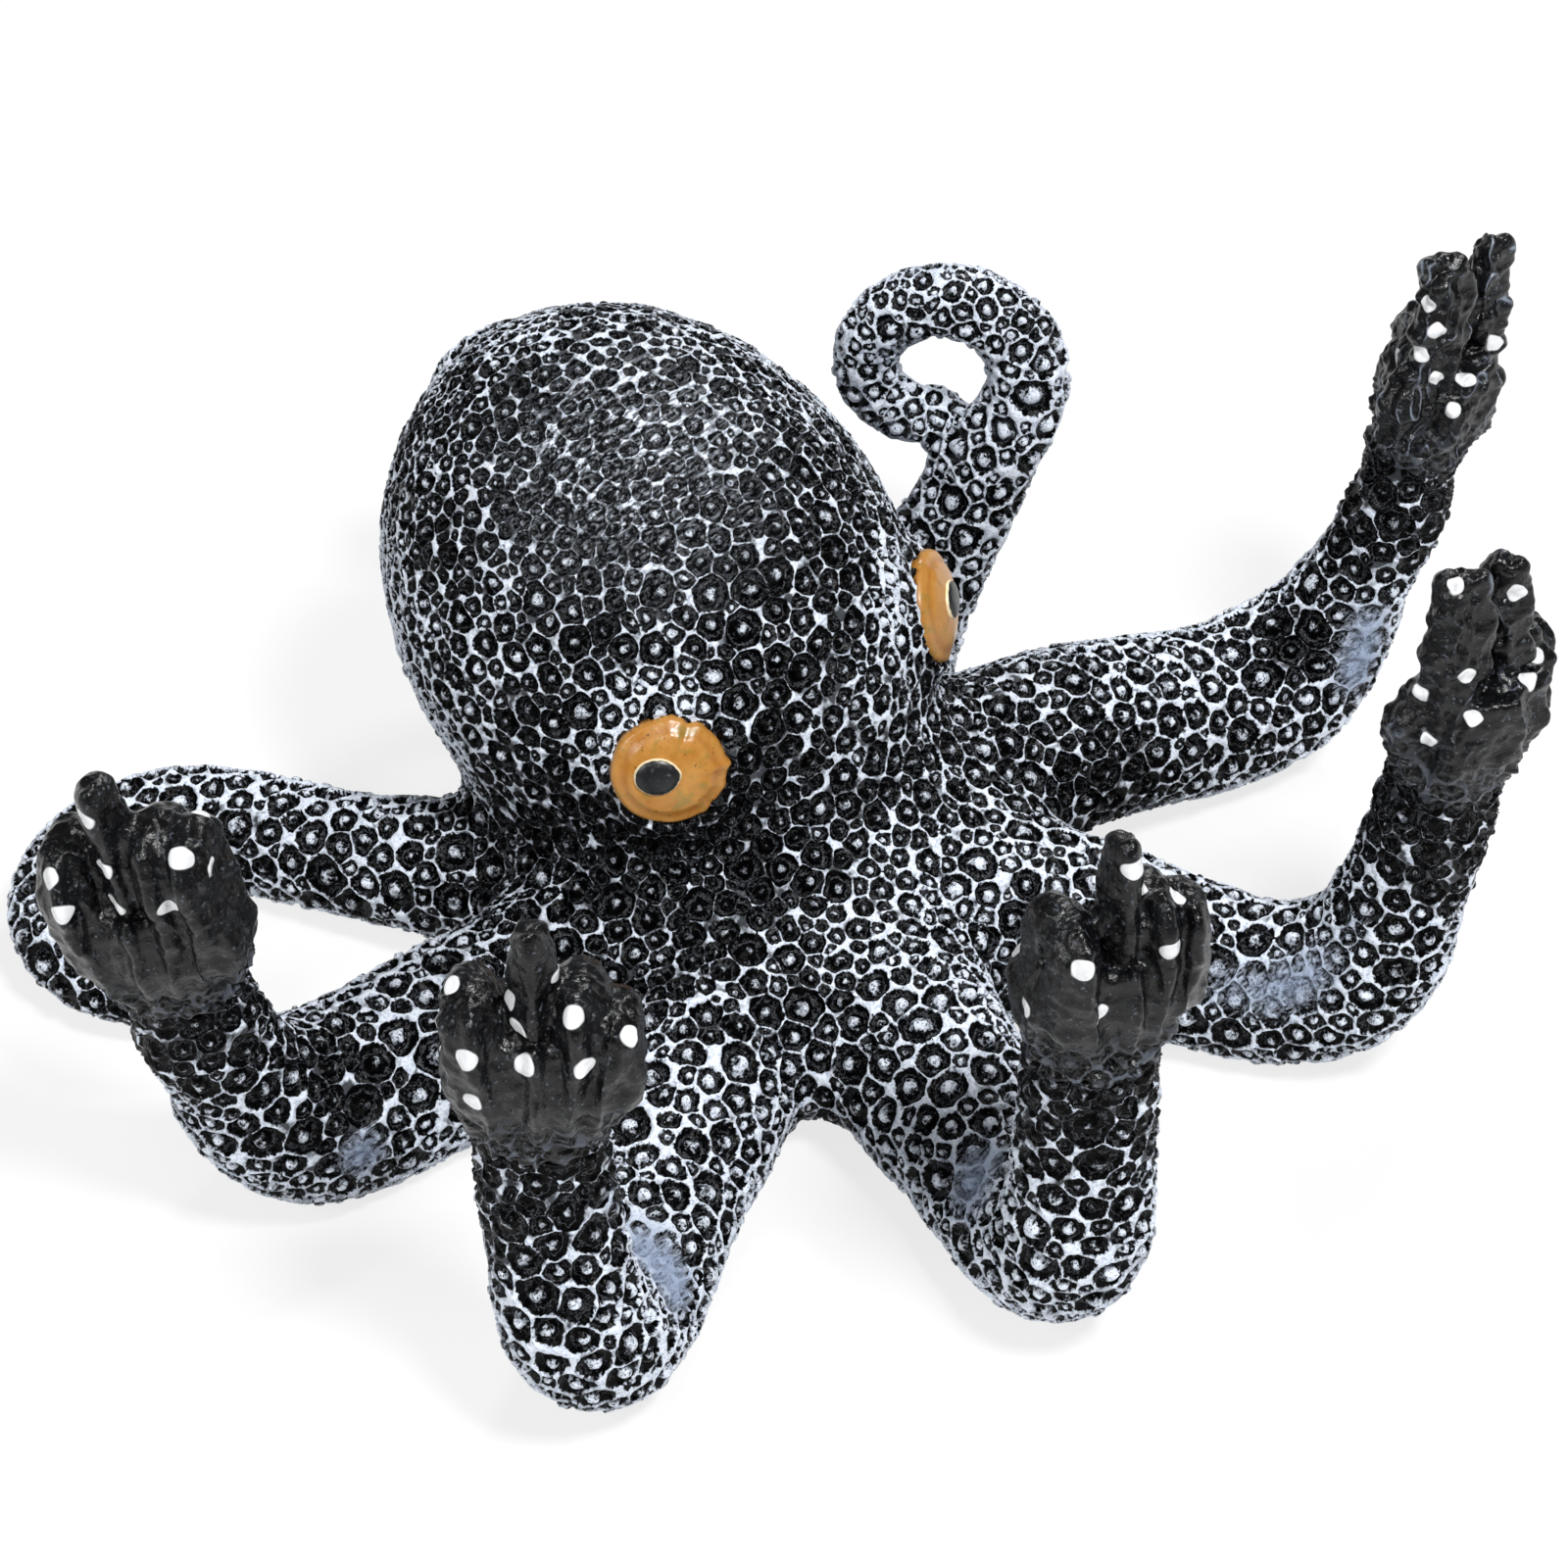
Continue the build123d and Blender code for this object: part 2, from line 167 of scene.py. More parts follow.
# Where the castings meet, as in the CAD model: heading and reach of each arm's joint, and each wrist
armJoints = {
    "left_1": {"heading": 26.4, "reach": 32.0, "height": 8.6},
    "left_2": {"heading": 73.5, "reach": 32.0, "height": 13.0},
    "left_3": {"heading": 118.5, "reach": 32.0, "height": 8.6},
    "left_4": {"heading": 163.0, "reach": 37.0, "height": 8.6},
    "right_1": {"heading": -20.8, "reach": 32.0, "height": 8.6},
    "right_2": {"heading": -60.5, "reach": 32.0, "height": 8.6},
    "right_3": {"heading": -98.5, "reach": 32.0, "height": 8.6},
    "right_4": {"heading": -134.0, "reach": 32.0, "height": 8.6},
}
wrists = {
    "left_1": {"reach": 64.2, "rise": 38.6, "swing": 0.0, "lean": 7.0, "twist": 0.0, "size": 0.97},
    "left_2": {"reach": 70.0, "rise": 39.0, "swing": -4.0, "lean": 8.0, "twist": -22.0, "size": 0.92},
    "right_1": {"reach": 62.0, "rise": 38.2, "swing": 0.2, "lean": 2.0, "twist": 0.0, "size": 0.89},
    "right_2": {"reach": 67.5, "rise": 37.0, "swing": -3.4, "lean": 3.0, "twist": 14.0, "size": 1.0},
    "right_3": {"reach": 68.8, "rise": 34.0, "swing": 1.1, "lean": 13.0, "twist": 44.0, "size": 1.0},
}
eyeSettings = {
    "spacing": 35.6,
    "y": -3.2,
    "z": 34.0,
    "seats": {  # how each eye is set and painted: degrees, and millimetres across and up its face
        "left": {
            "side": 1, "turn": 33.0, "lift": 16.0, "shift": (0.0, 0.0),
            "stretch": (1.0, 0.97), "pupilShift": 0.6,
        },
        "right": {
            "side": -1, "turn": 38.0, "lift": 19.5, "shift": (-0.7, 0.35),
            "stretch": (0.965, 0.92), "pupilShift": 1.3,
        },
    },
    "radius": 5.8,
    "dome": 1.8,
    "stepDepth": 0.16,
    "pupilLength": 4.4,
    "pupilWidth": 3.7,
    "pupilDome": 0.62,
    "skirt": -0.9,
    "pupilSkirt": -0.6,
    "press": {"reach": 1.22, "edge": 0.97, "depth": 0.55, "drop": 0.3, "ramp": 6.0},  # skin under the eye
    "ragged": {  # notches and spikes of the painted edge: degrees, width, depth
        "left": [(95, 9, 0.35), (250, 14, 0.3)],
        "right": [
            (66, 5, -0.38), (52, 5, 0.15), (86, 6, 0.15), (2, 5, 0.45),
            (338, 5, 0.2), (318, 3, -0.2), (306, 4, 0.15),
        ],
    },
}


def wristFrame(name):  # +Z up the fist, +X the back of the hand, in millimetres
    wrist = wrists[name]
    heading = armJoints[name]["heading"]
    outward = headingVector(heading)
    lean = math.radians(wrist["lean"])
    upward = Vector((0, 0, 1))
    axis = outward * math.sin(lean) + upward * math.cos(lean)
    back = outward * math.cos(lean) - upward * math.sin(lean)
    back = Matrix.Rotation(math.radians(wrist["twist"]), 3, axis) @ back
    place = headingVector(heading + wrist["swing"]) * wrist["reach"] + upward * wrist["rise"]
    turned = Matrix((back, axis.cross(back), axis)).transposed().to_4x4()
    return Matrix.Translation(place) @ turned


def eyeFrame(name):  # +Z out of the eye, +X to the octopus's left, in millimetres
    seat = eyeSettings["seats"][name]
    side = seat["side"]
    turn = math.radians(seat["turn"])
    lift = math.radians(seat["lift"])
    outward = Vector(
        (side * math.sin(turn) * math.cos(lift), -math.cos(turn) * math.cos(lift), math.sin(lift))
    )
    across = Vector((0, 0, 1)).cross(outward).normalized()
    place = Vector((side * eyeSettings["spacing"] / 2, eyeSettings["y"], eyeSettings["z"]))
    turned = Matrix((across, outward.cross(across), outward)).transposed().to_4x4()
    return Matrix.Translation(place) @ turned @ Matrix.Translation((*seat["shift"], 0.0))


def nodeMesh(name):  # points in millimetres and triangles of a CAD node
    mesh = nodes[name].data
    points = np.empty(len(mesh.vertices) * 3)
    mesh.vertices.foreach_get("co", points)
    mesh.calc_loop_triangles()
    corners = np.empty(len(mesh.loop_triangles) * 3, dtype=np.int32)
    mesh.loop_triangles.foreach_get("vertices", corners)
    return points.reshape(-1, 3) / mm, corners.reshape(-1, 3)


def evaluated(shape):
    return bpy.data.meshes.new_from_object(shape.evaluated_get(bpy.context.evaluated_depsgraph_get()))


def castBlank(names, voxel):  # one closed quad skin around several CAD nodes
    points, corners, start = [], [], 0
    for name in names:
        nodePoints, nodeCorners = nodeMesh(name)
        points.append(nodePoints)
        corners.append(nodeCorners + start)
        start += len(nodePoints)
    mesh = bpy.data.meshes.new("blank")
    mesh.from_pydata(np.concatenate(points).tolist(), [], np.concatenate(corners).tolist())
    shape = bpy.data.objects.new("blank", mesh)
    scene.collection.objects.link(shape)
    remesh = shape.modifiers.new("voxels", "REMESH")
    remesh.mode = "VOXEL"
    remesh.voxel_size = voxel
    skin = evaluated(shape)
    bpy.data.objects.remove(shape)
    bpy.data.meshes.remove(mesh)
    bm = bmesh.new()
    bm.from_mesh(skin)
    bpy.data.meshes.remove(skin)
    keepLargest(bm)
    return bm


def keepLargest(bm):  # drops the small shells that voxels leave in closed gaps
    bm.verts.ensure_lookup_table()
    island = {}
    sizes = []
    for start in bm.verts:
        if start in island:
            continue
        number = len(sizes)
        island[start] = number
        stack = [start]
        count = 0
        while stack:
            vert = stack.pop()
            count += 1
            for edge in vert.link_edges:
                other = edge.other_vert(vert)
                if other not in island:
                    island[other] = number
                    stack.append(other)
        sizes.append(count)
    largest = sizes.index(max(sizes))
    loose = [vert for vert, number in island.items() if number != largest]
    bmesh.ops.delete(bm, geom=loose, context="VERTS")


def bmPoints(bm):
    return np.array([vert.co for vert in bm.verts])


def edgePairs(bm):
    bm.verts.index_update()
    return np.array([[vert.index for vert in edge.verts] for edge in bm.edges])


def neighbourMean(points, pairs):
    count = np.bincount(pairs.ravel(), minlength=len(points))
    total = np.empty_like(points)
    for axis in range(3):
        values = points[:, axis]
        total[:, axis] = np.bincount(pairs[:, 0], values[pairs[:, 1]], len(points))
        total[:, axis] += np.bincount(pairs[:, 1], values[pairs[:, 0]], len(points))
    return total / np.maximum(count, 1)[:, None]


def quadNormals(points, quads):
    across = np.cross(points[quads[:, 2]] - points[quads[:, 0]], points[quads[:, 3]] - points[quads[:, 1]])
    normals = np.zeros_like(points)
    for corner in range(4):
        for axis in range(3):
            normals[:, axis] += np.bincount(quads[:, corner], across[:, axis], len(points))
    return normals / np.maximum(np.linalg.norm(normals, axis=1), 1e-9)[:, None]


def smoothBlank(points, pairs, rounds):  # takes out the voxel steps without shrinking
    for _ in range(rounds):
        points = points + 0.5 * (neighbourMean(points, pairs) - points)
        points = points - 0.52 * (neighbourMean(points, pairs) - points)
    return points


def smoothStep(low, high, values):
    t = np.clip((values - low) / (high - low), 0.0, 1.0)
    return t * t * (3 - 2 * t)


# Skin of the body and the arms
skinSettings = {
    "voxel": 1.35,
    "fillRounds": 45,
    "fillMost": 3.0,
    "smoothRounds": 4,
    "levels": 2,
    "cutReach": 13.0,
    "fillNear": (58, 42),
    "fillBelow": (46, 40),
    "eyeKeep": (7.5, 11.0),
}
armNames = ["arm_" + name for name in armJoints]
fistNames = ["fist_" + name for name in wrists]
skinNames = ["body"] + armNames
blankNames = skinNames + fistNames + ["eye_left", "eye_right"]

bm = castBlank(blankNames, skinSettings["voxel"])
quads = np.array([[vert.index for vert in face.verts] for face in bm.faces])
pairs = edgePairs(bm)
points = smoothBlank(bmPoints(bm), pairs, skinSettings["smoothRounds"])
start = points.copy()
fillWeight = 0.35 + 0.65 * smoothStep(*skinSettings["fillNear"], np.hypot(points[:, 0], points[:, 1]))
fillWeight *= smoothStep(*skinSettings["fillBelow"], points[:, 2])
for name in eyeSettings["seats"]:
    eyeGap = np.linalg.norm(points - np.array(eyeFrame(name).translation), axis=1)
    fillWeight *= 0.15 + 0.85 * smoothStep(*skinSettings["eyeKeep"], eyeGap)
for _ in range(skinSettings["fillRounds"]):
    pull = neighbourMean(points, pairs) - points
    normals = quadNormals(points, quads)
    lift = np.einsum("ij,ij->i", pull, normals)
    raised = np.clip(lift, 0, None) * fillWeight
    points = points + raised[:, None] * normals * 0.8 + 0.25 * (pull - lift[:, None] * normals)
    off = points - start
    far = np.linalg.norm(off, axis=1)
    points = start + off * np.minimum(1.0, skinSettings["fillMost"] / np.maximum(far, 1e-9))[:, None]
    points[:, 2] = np.maximum(points[:, 2], 0.0)
for vert, place in zip(bm.verts, points):
    vert.co = place
print("skin blank", len(bm.verts), "points")


def cutRound(bm, centre, normal, reach):  # cuts the faces near a joint along its plane
    faces = [f for f in bm.faces if (f.calc_center_median() - centre).length < reach]
    geometry = set(faces)
    for face in faces:
        geometry.update(face.edges)
        geometry.update(face.verts)
    bmesh.ops.bisect_plane(bm, geom=list(geometry), plane_co=centre, plane_no=normal, dist=0.12)


planes = {}
for name, joint in armJoints.items():
    outward = headingVector(joint["heading"])
    planes["arm_" + name] = (outward * joint["reach"] + Vector((0, 0, joint["height"])), outward)
for name in wrists:
    place = wristFrame(name)
    planes["fist_" + name] = (place.translation, place.col[2].to_3d())
for centre, normal in planes.values():
    cutRound(bm, centre, normal, skinSettings["cutReach"])

trees = {}
for name in blankNames:
    nodePoints, nodeCorners = nodeMesh(name)
    trees[name] = BVHTree.FromPolygons(nodePoints.tolist(), nodeCorners.tolist())
labels = []
for face in bm.faces:
    middle = face.calc_center_median()
    nearest = [(trees[name].find_nearest(middle, 8.0)[3], name) for name in blankNames]
    label = min((distance, name) for distance, name in nearest if distance is not None)[1]
    if label.startswith("eye"):
        label = "body"
    for name, (centre, normal) in planes.items():
        inner = "body" if name.startswith("arm") else name.replace("fist", "arm")
        if label in (name, inner) and (middle - centre).length < skinSettings["cutReach"]:
            label = name if (middle - centre).dot(normal) > 0 else inner
    labels.append(blankNames.index(label))
print("skin cut at its joints")

coarse = bpy.data.meshes.new("skinBlank")
bm.to_mesh(coarse)
bm.free()
mark = coarse.attributes.new("piece", "INT", "FACE")
mark.data.foreach_set("value", labels)
skinBlank = bpy.data.objects.new("skinBlank", coarse)
scene.collection.objects.link(skinBlank)


def unwrapPieces(shape, numbers):  # one packed set of islands for each piece, kept for baking
    shape.data.uv_layers.new(name="OFBake")
    bpy.context.view_layer.objects.active = shape
    for number in sorted(set(numbers)):
        chosen = [value == number for value in numbers]
        shape.data.polygons.foreach_set("select", chosen)
        bpy.ops.object.mode_set(mode="EDIT")
        bpy.ops.mesh.select_mode(type="FACE")
        bpy.ops.uv.smart_project(angle_limit=math.radians(66), island_margin=0.004)
        bpy.ops.object.mode_set(mode="OBJECT")


unwrapPieces(skinBlank, labels)
subdivide = skinBlank.modifiers.new("fine", "SUBSURF")
subdivide.levels = skinSettings["levels"]
fine = evaluated(skinBlank)
bpy.data.objects.remove(skinBlank)
print("fine skin", len(fine.polygons), "faces")


def meshPoints(mesh):
    points = np.empty(len(mesh.vertices) * 3)
    mesh.vertices.foreach_get("co", points)
    return points.reshape(-1, 3)


def meshQuads(mesh):
    corners = np.empty(len(mesh.loops), dtype=np.int32)
    mesh.loops.foreach_get("vertex_index", corners)
    return corners.reshape(-1, 4)


def meshUvs(mesh):
    places = np.empty(len(mesh.loops) * 2)
    mesh.uv_layers["OFBake"].data.foreach_get("uv", places)
    return places.reshape(-1, 4, 2)


# Cups of the skin: round wells of many sizes pressed side by side, with a thin wall between them
cupSettings = {
    "seed": 41,
    "radius": 1.12,
    "armRadius": 1.3,
    "mantleRadius": 0.86,
    "passes": [(1.25, 12000), (1.0, 70000), (0.8, 80000), (0.62, 90000)],
    "tightness": 0.93,
    "cell": 3.8,
    "relaxRounds": 2,
    "overlap": 0.1,
    "snap": 0.2,
    "ridgeWidth": 0.26,
    "ridgeHeight": 0.2,
    "wellDepth": 0.6,
    "ringHeight": 0.1,
    "bossHeight": 0.86,
    "bends": [(2.4, 0.34), (1.0, 0.2)],
    "lumps": [(2.8, 0.22), (1.1, 0.16)],
    "foldWide": 1.7,
    "foldHeight": 0.45,
    "wristReach": (5.0, 19.0),
}


def mantleShare(points):  # 1 on the bulb behind the eyes
    behind = points[:, 1] * 0.62 + points[:, 2] * 0.78
    return smoothStep(38, 50, behind) * smoothStep(20, 27, points[:, 2])


def armShare(points):  # 0 on the head, 1 out on the arms
    return smoothStep(24, 40, np.hypot(points[:, 0], points[:, 1])) * smoothStep(45, 38, points[:, 2])


def packCups(points):
    draw = random.Random(cupSettings["seed"])
    radii = cupSettings["radius"] + (cupSettings["armRadius"] - cupSettings["radius"]) * armShare(points)
    radii += (cupSettings["mantleRadius"] - radii) * mantleShare(points)
    cell = cupSettings["cell"]
    grid = {}
    packed = []
    for shrink, tries in cupSettings["passes"]:
        for index in draw.sample(range(len(points)), tries):
            x, y, z = points[index]
            radius = radii[index] * shrink * draw.uniform(0.78, 1.26)
            i, j, k = int(x // cell), int(y // cell), int(z // cell)
            near = []
            for a in (i - 1, i, i + 1):
                for b in (j - 1, j, j + 1):
                    for c in (k - 1, k, k + 1):
                        near += grid.get((a, b, c), ())
            for u, v, w, other in near:
                gap = (radius + other) * cupSettings["tightness"]
                if (x - u) ** 2 + (y - v) ** 2 + (z - w) ** 2 < gap * gap:
                    break
            else:
                grid.setdefault((i, j, k), []).append((x, y, z, radius))
                packed.append((x, y, z, radius))
    return np.array(packed)


def nearCups(points, cups, count):  # numbers of the cups around each point
    tree = KDTree(len(cups))
    for index, cup in enumerate(cups):
        tree.insert(cup[:3], index)
    tree.balance()
    return np.array([[found[1] for found in tree.find_n(place, count)] for place in points])


def relaxCups(cups, points, share):  # lets the cups settle until they fill the skin evenly
    for _ in range(cupSettings["relaxRounds"]):
        near = nearCups(points, cups, 4)
        inside = np.linalg.norm(points[:, None, :] - cups[near, :3], axis=2) - cups[near, 3]
        owner = near[np.arange(len(points)), inside.argmin(axis=1)]
        count = np.bincount(owner, minlength=len(cups))
        for axis in range(3):
            middle = np.bincount(owner, points[:, axis], len(cups)) / np.maximum(count, 1)
            cups[:, axis] = np.where(count > 0, middle, cups[:, axis])
        cups[:, 3] = 0.5 * cups[:, 3] + 0.5 * np.sqrt(count * share / math.pi)
    return cups[cups[:, 3] > 0.3]


def layered(points, layers):  # noise of several sizes, each with its width and height in millimetres
    total = np.zeros(len(points))
    for wide, high in layers:
        total += high * np.array([noise.noise(Vector(spot) / wide) for spot in points])
    return total


def bendCups(points):  # presses the cups out of round, as hand-worked ones are
    bent = points.copy()
    for wide, amount in cupSettings["bends"]:
        bent += amount * np.array([noise.noise_vector(Vector(spot) / wide) for spot in points])
    return bent


def wristShare(points):  # 1 at the wrists, 0 out on the forearms
    away = np.full(len(points), 1e3)
    for name in wrists:
        away = np.minimum(away, np.linalg.norm(points - np.array(wristFrame(name).translation), axis=1))
    low, high = cupSettings["wristReach"]
    return smoothStep(high, low, away)


def readCups(points, near):
    # gap to the wall of a point's cup, its share of the way out, the cup's number, and the way to the wall
    out = points[:, None, :] - cups[near, :3]
    away = np.maximum(np.linalg.norm(out, axis=2), 1e-6)
    inside = away - cups[near, 3]
    order = np.argsort(inside, axis=1)[:, :2]
    rows = np.arange(len(points))
    one, two = order[:, 0], order[:, 1]
    owner = near[rows, one]
    wall = (inside[rows, two] - inside[rows, one]) * 0.5
    edge = np.minimum(wall, cupSettings["overlap"] - inside[rows, one])
    core = away[rows, one] / cups[owner, 3]
    way = (out[rows, one] / away[rows, one, None] - out[rows, two] / away[rows, two, None]) * 0.5
    way /= np.maximum(np.einsum("ij,ij->i", way, way), 0.1)[:, None]
    return edge, core, owner, wall, way


finePoints = meshPoints(fine)
fineQuads = meshQuads(fine)
fineNormals = quadNormals(finePoints, fineQuads)
across = finePoints[fineQuads[:, 2]] - finePoints[fineQuads[:, 0]]
along = finePoints[fineQuads[:, 3]] - finePoints[fineQuads[:, 1]]
skinArea = 0.5 * np.linalg.norm(np.cross(across, along), axis=1).sum()
sample = finePoints[::6]
cups = relaxCups(packCups(finePoints), sample, skinArea / len(sample))
cupLuck = np.random.default_rng(cupSettings["seed"]).random(len(cups))
near = nearCups(finePoints, cups, 6)
edge, core, owner, wall, way = readCups(bendCups(finePoints), near)
# points beside a wall slide onto it, so the walls come out crisp
close = (wall < cupSettings["snap"])[:, None]
slide = way * wall[:, None]
slide -= np.einsum("ij,ij->i", slide, fineNormals)[:, None] * fineNormals
finePoints = np.where(close, finePoints + slide, finePoints)
edge, core, owner = readCups(bendCups(finePoints), near)[:3]
print("cups", len(cups))


def cupRelief(edge, core, radius):
    ridge = np.exp(-((np.clip(edge, 0, None) / cupSettings["ridgeWidth"]) ** 2))
    well = smoothStep(0.05, 0.42, edge)
    ring = np.exp(-(((core - 0.7) / 0.08) ** 2)) * well
    boss = smoothStep(0.62, 0.2, core) * well
    deep = cupSettings["wellDepth"] * well - cupSettings["bossHeight"] * boss - cupSettings["ringHeight"] * ring
    return cupSettings["ridgeHeight"] * ridge - deep * np.clip(radius / 1.2, 0.5, 1.2)


def skinRelief(points, edge, core, radius):  # cups and lumps, with folds round the limb at the wrists
    close = wristShare(points)
    relief = cupRelief(edge, core, radius) * (1 - 0.6 * close) + layered(points, cupSettings["lumps"])
    folded = np.where(close > 0)[0]
    for index in folded:
        x, y, z = points[index]
        crease = abs(noise.noise(Vector((x, y, z * 2.2)) / cupSettings["foldWide"]))
        relief[index] += close[index] * cupSettings["foldHeight"] * (0.6 - 2.2 * crease)
    return relief


# How much of the pale paint shows at places on the skin: patches and smears, each with its reach in
# millimetres and its amount; a negative amount makes the skin darker there
paintSettings = {
    "head": 0.29,
    "arms": 0.58,
    "wristDrop": 0.55,
    "patches": [
        # the darker patches lie under and behind the right eye, at the floor by the first right arm's root, between
        # the roots of the first two left arms, on three arms and over the arm lying at the back
        ((-12, -7, 31), 6, -0.3),
        ((-17, -3, 22), 8, -0.3),
        ((-21, 11, 19), 9, -0.25),
        ((-16, -21, 1), 10, -0.3),
        ((4, -22, 18), 12, 0.3),
        ((-13, -25, 18), 8, 0.15),
        ((54, -21, 18), 4, -0.6),
        ((30, -19, 11), 8, -0.5),
        ((-57, 2, 16), 6, -0.7),
        ((-50, 30, 9), 20, -0.28),
        ((16, -46, 10), 12, -0.1),
        ((-19, 2, 40), 3.4, 0.6),
        ((-15, -2, 40), 3.0, 0.45),
        ((-22, 2, 35), 2.6, 0.5),
        ((11, -3, 43), 3.4, 0.6),
        ((9, -6, 41), 3.0, 0.5),
        ((9, -8, 37), 2.8, 0.5),
        ((44, 24, 42), 20, 0.42),
    ],
    "smears": [
        ((14, -44, 12), 4, 0.4),
        ((17, -49, 12), 4, 0.45),
        ((19, -52, 16), 4, 0.45),
        ((21, -54, 22), 3, 0.34),
        ((40, 22, 38), 6, 0.4),
        ((46, 25, 52), 7, 0.45),
        ((58, -26, 15), 4, 0.6),
        ((59, -26, 21), 4, 0.5),
        ((-57, -1, 10), 3.5, 0.65),
        ((-50, -30, 14), 4, 0.5),
        ((-50, -35, 12), 4, 0.6),
        ((-58, -36, 29), 3, 0.4),
        ((-20, -45, 14), 4, 0.4),
        ((-24, -46, 12), 4, 0.45),
        ((-27, -55, 29), 3, 0.3),
    ],
    "wornAt": (-8, 12, 57),
    "wornReach": (5, 19),
}


def patchField(points, base, patches):
    field = np.zeros(len(points)) + base
    for place, reach, amount in patches:
        away = np.linalg.norm(points - np.array(place), axis=1)
        field += amount * np.exp(-((away / reach) ** 2))
    return np.clip(field, 0, 1)


def paintField(points):
    base = paintSettings["head"] + (paintSettings["arms"] - paintSettings["head"]) * armShare(points)
    return patchField(points, base - paintSettings["wristDrop"] * wristShare(points), paintSettings["patches"])


def wornField(points):
    away = np.linalg.norm(points - np.array(paintSettings["wornAt"]), axis=1)
    low, high = paintSettings["wornReach"]
    return smoothStep(high, low, away)


relief = skinRelief(finePoints, edge, core, cups[owner, 3])
worn = wornField(finePoints)
smear = patchField(finePoints, 0.0, paintSettings["smears"])
standing = smoothStep(0.05, 1.2, finePoints[:, 2])
shaped = finePoints + fineNormals * (relief * standing * (1 - 0.5 * worn) * (1 - 0.75 * smear))[:, None]
shaped[:, 2] = np.maximum(shaped[:, 2], 0.0)


def eyeTop(share):  # height of the painted eye above its rim plane: a low dome with a step near its edge
    dome = eyeSettings["dome"] * np.sqrt(np.clip(1 - share**2, 0, None))
    return dome - eyeSettings["stepDepth"] * smoothStep(0.7, 0.8, share) * smoothStep(1.0, 0.86, share)


def toFrame(place, points):
    inverse = np.array(place.inverted())
    return points @ inverse[:3, :3].T + inverse[:3, 3]


def fromFrame(place, points):
    forward = np.array(place)
    return points @ forward[:3, :3].T + forward[:3, 3]


for name, seat in eyeSettings["seats"].items():  # the skin stays under the eye
    local = toFrame(eyeFrame(name), shaped)
    share = np.hypot(local[:, 0] / seat["stretch"][0], local[:, 1] / seat["stretch"][1]) / eyeSettings["radius"]
    press = eyeSettings["press"]
    under = (share < press["reach"]) & (np.abs(local[:, 2]) < 6)
    slope = -press["drop"] + press["ramp"] * np.clip(share - press["edge"], 0, None)
    limit = np.where(share < press["edge"], eyeTop(share) - press["depth"], slope)
    local[under, 2] = np.minimum(local[under, 2], limit[under])
    shaped[under] = fromFrame(eyeFrame(name), local[under])


def buildPiece(name, points, quads, uvs, fields, material):
    used, corners = np.unique(quads, return_inverse=True)
    corners = corners.reshape(-1, 4)
    places = points[used] * mm
    count = len(used)
    tails = corners.ravel().astype(np.int64)
    heads = np.roll(corners, -1, axis=1).ravel().astype(np.int64)
    bare = ~np.isin(tails * count + heads, heads * count + tails)
    following = dict(zip(tails[bare].tolist(), heads[bare].tolist()))
    faces = corners.tolist()
    border = set()
    extra = []
    while following:  # closes each cut with a flat cap
        first, spot = following.popitem()
        loop = [first]
        while spot != first and spot in following:
            loop.append(spot)
            spot = following.pop(spot)
        middle = count + len(extra)
        extra.append(places[loop].mean(axis=0))
        for a, b in zip(loop, loop[1:] + loop[:1]):
            faces.append([b, a, middle])
            border.add((min(a, b), max(a, b)))
    mesh = bpy.data.meshes.new(name)
    if extra:
        places = np.concatenate([places, np.array(extra)])
    mesh.from_pydata(places.tolist(), [], faces)
    mesh.shade_smooth()
    sharp = mesh.attributes.new("sharp_edge", "BOOLEAN", "EDGE")
    sharp.data.foreach_set("value", [(min(e.vertices), max(e.vertices)) in border for e in mesh.edges])
    layer = mesh.uv_layers.new(name="OFBake")
    flat = np.zeros((len(mesh.loops), 2))
    flat[: len(corners) * 4] = uvs.reshape(-1, 2)
    layer.data.foreach_set("uv", flat.ravel())
    for field, values in fields.items():
        attribute = mesh.attributes.new(field, "FLOAT", "POINT")
        column = np.zeros(len(places))
        column[:count] = values[used]
        attribute.data.foreach_set("value", column)
    mesh.materials.append(material)
    piece = bpy.data.objects.new(name, mesh)
    scene.collection.objects.link(piece)
    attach(piece, "root")
    return piece


# Painted cast resin: satin black base coat with pale grey-blue paint dragged over what stands up,
# so walls and bosses are pale and matt and the wells stay black with small glints
skinPaint = {
    "black": "#030304",
    "blackWorn": "#0a0b0d",
    "pale": "#dde4ee",
    "paleDeep": "#8a99b6",
    "thin": "#7f8fab",
    "grain": 0.3,
    "pits": 0.7,
    "drift": 5.0,
    "streakLong": 2.6,
    "streakWide": 0.34,
    "breaks": 1.7,
    "shine": 0.08,
}


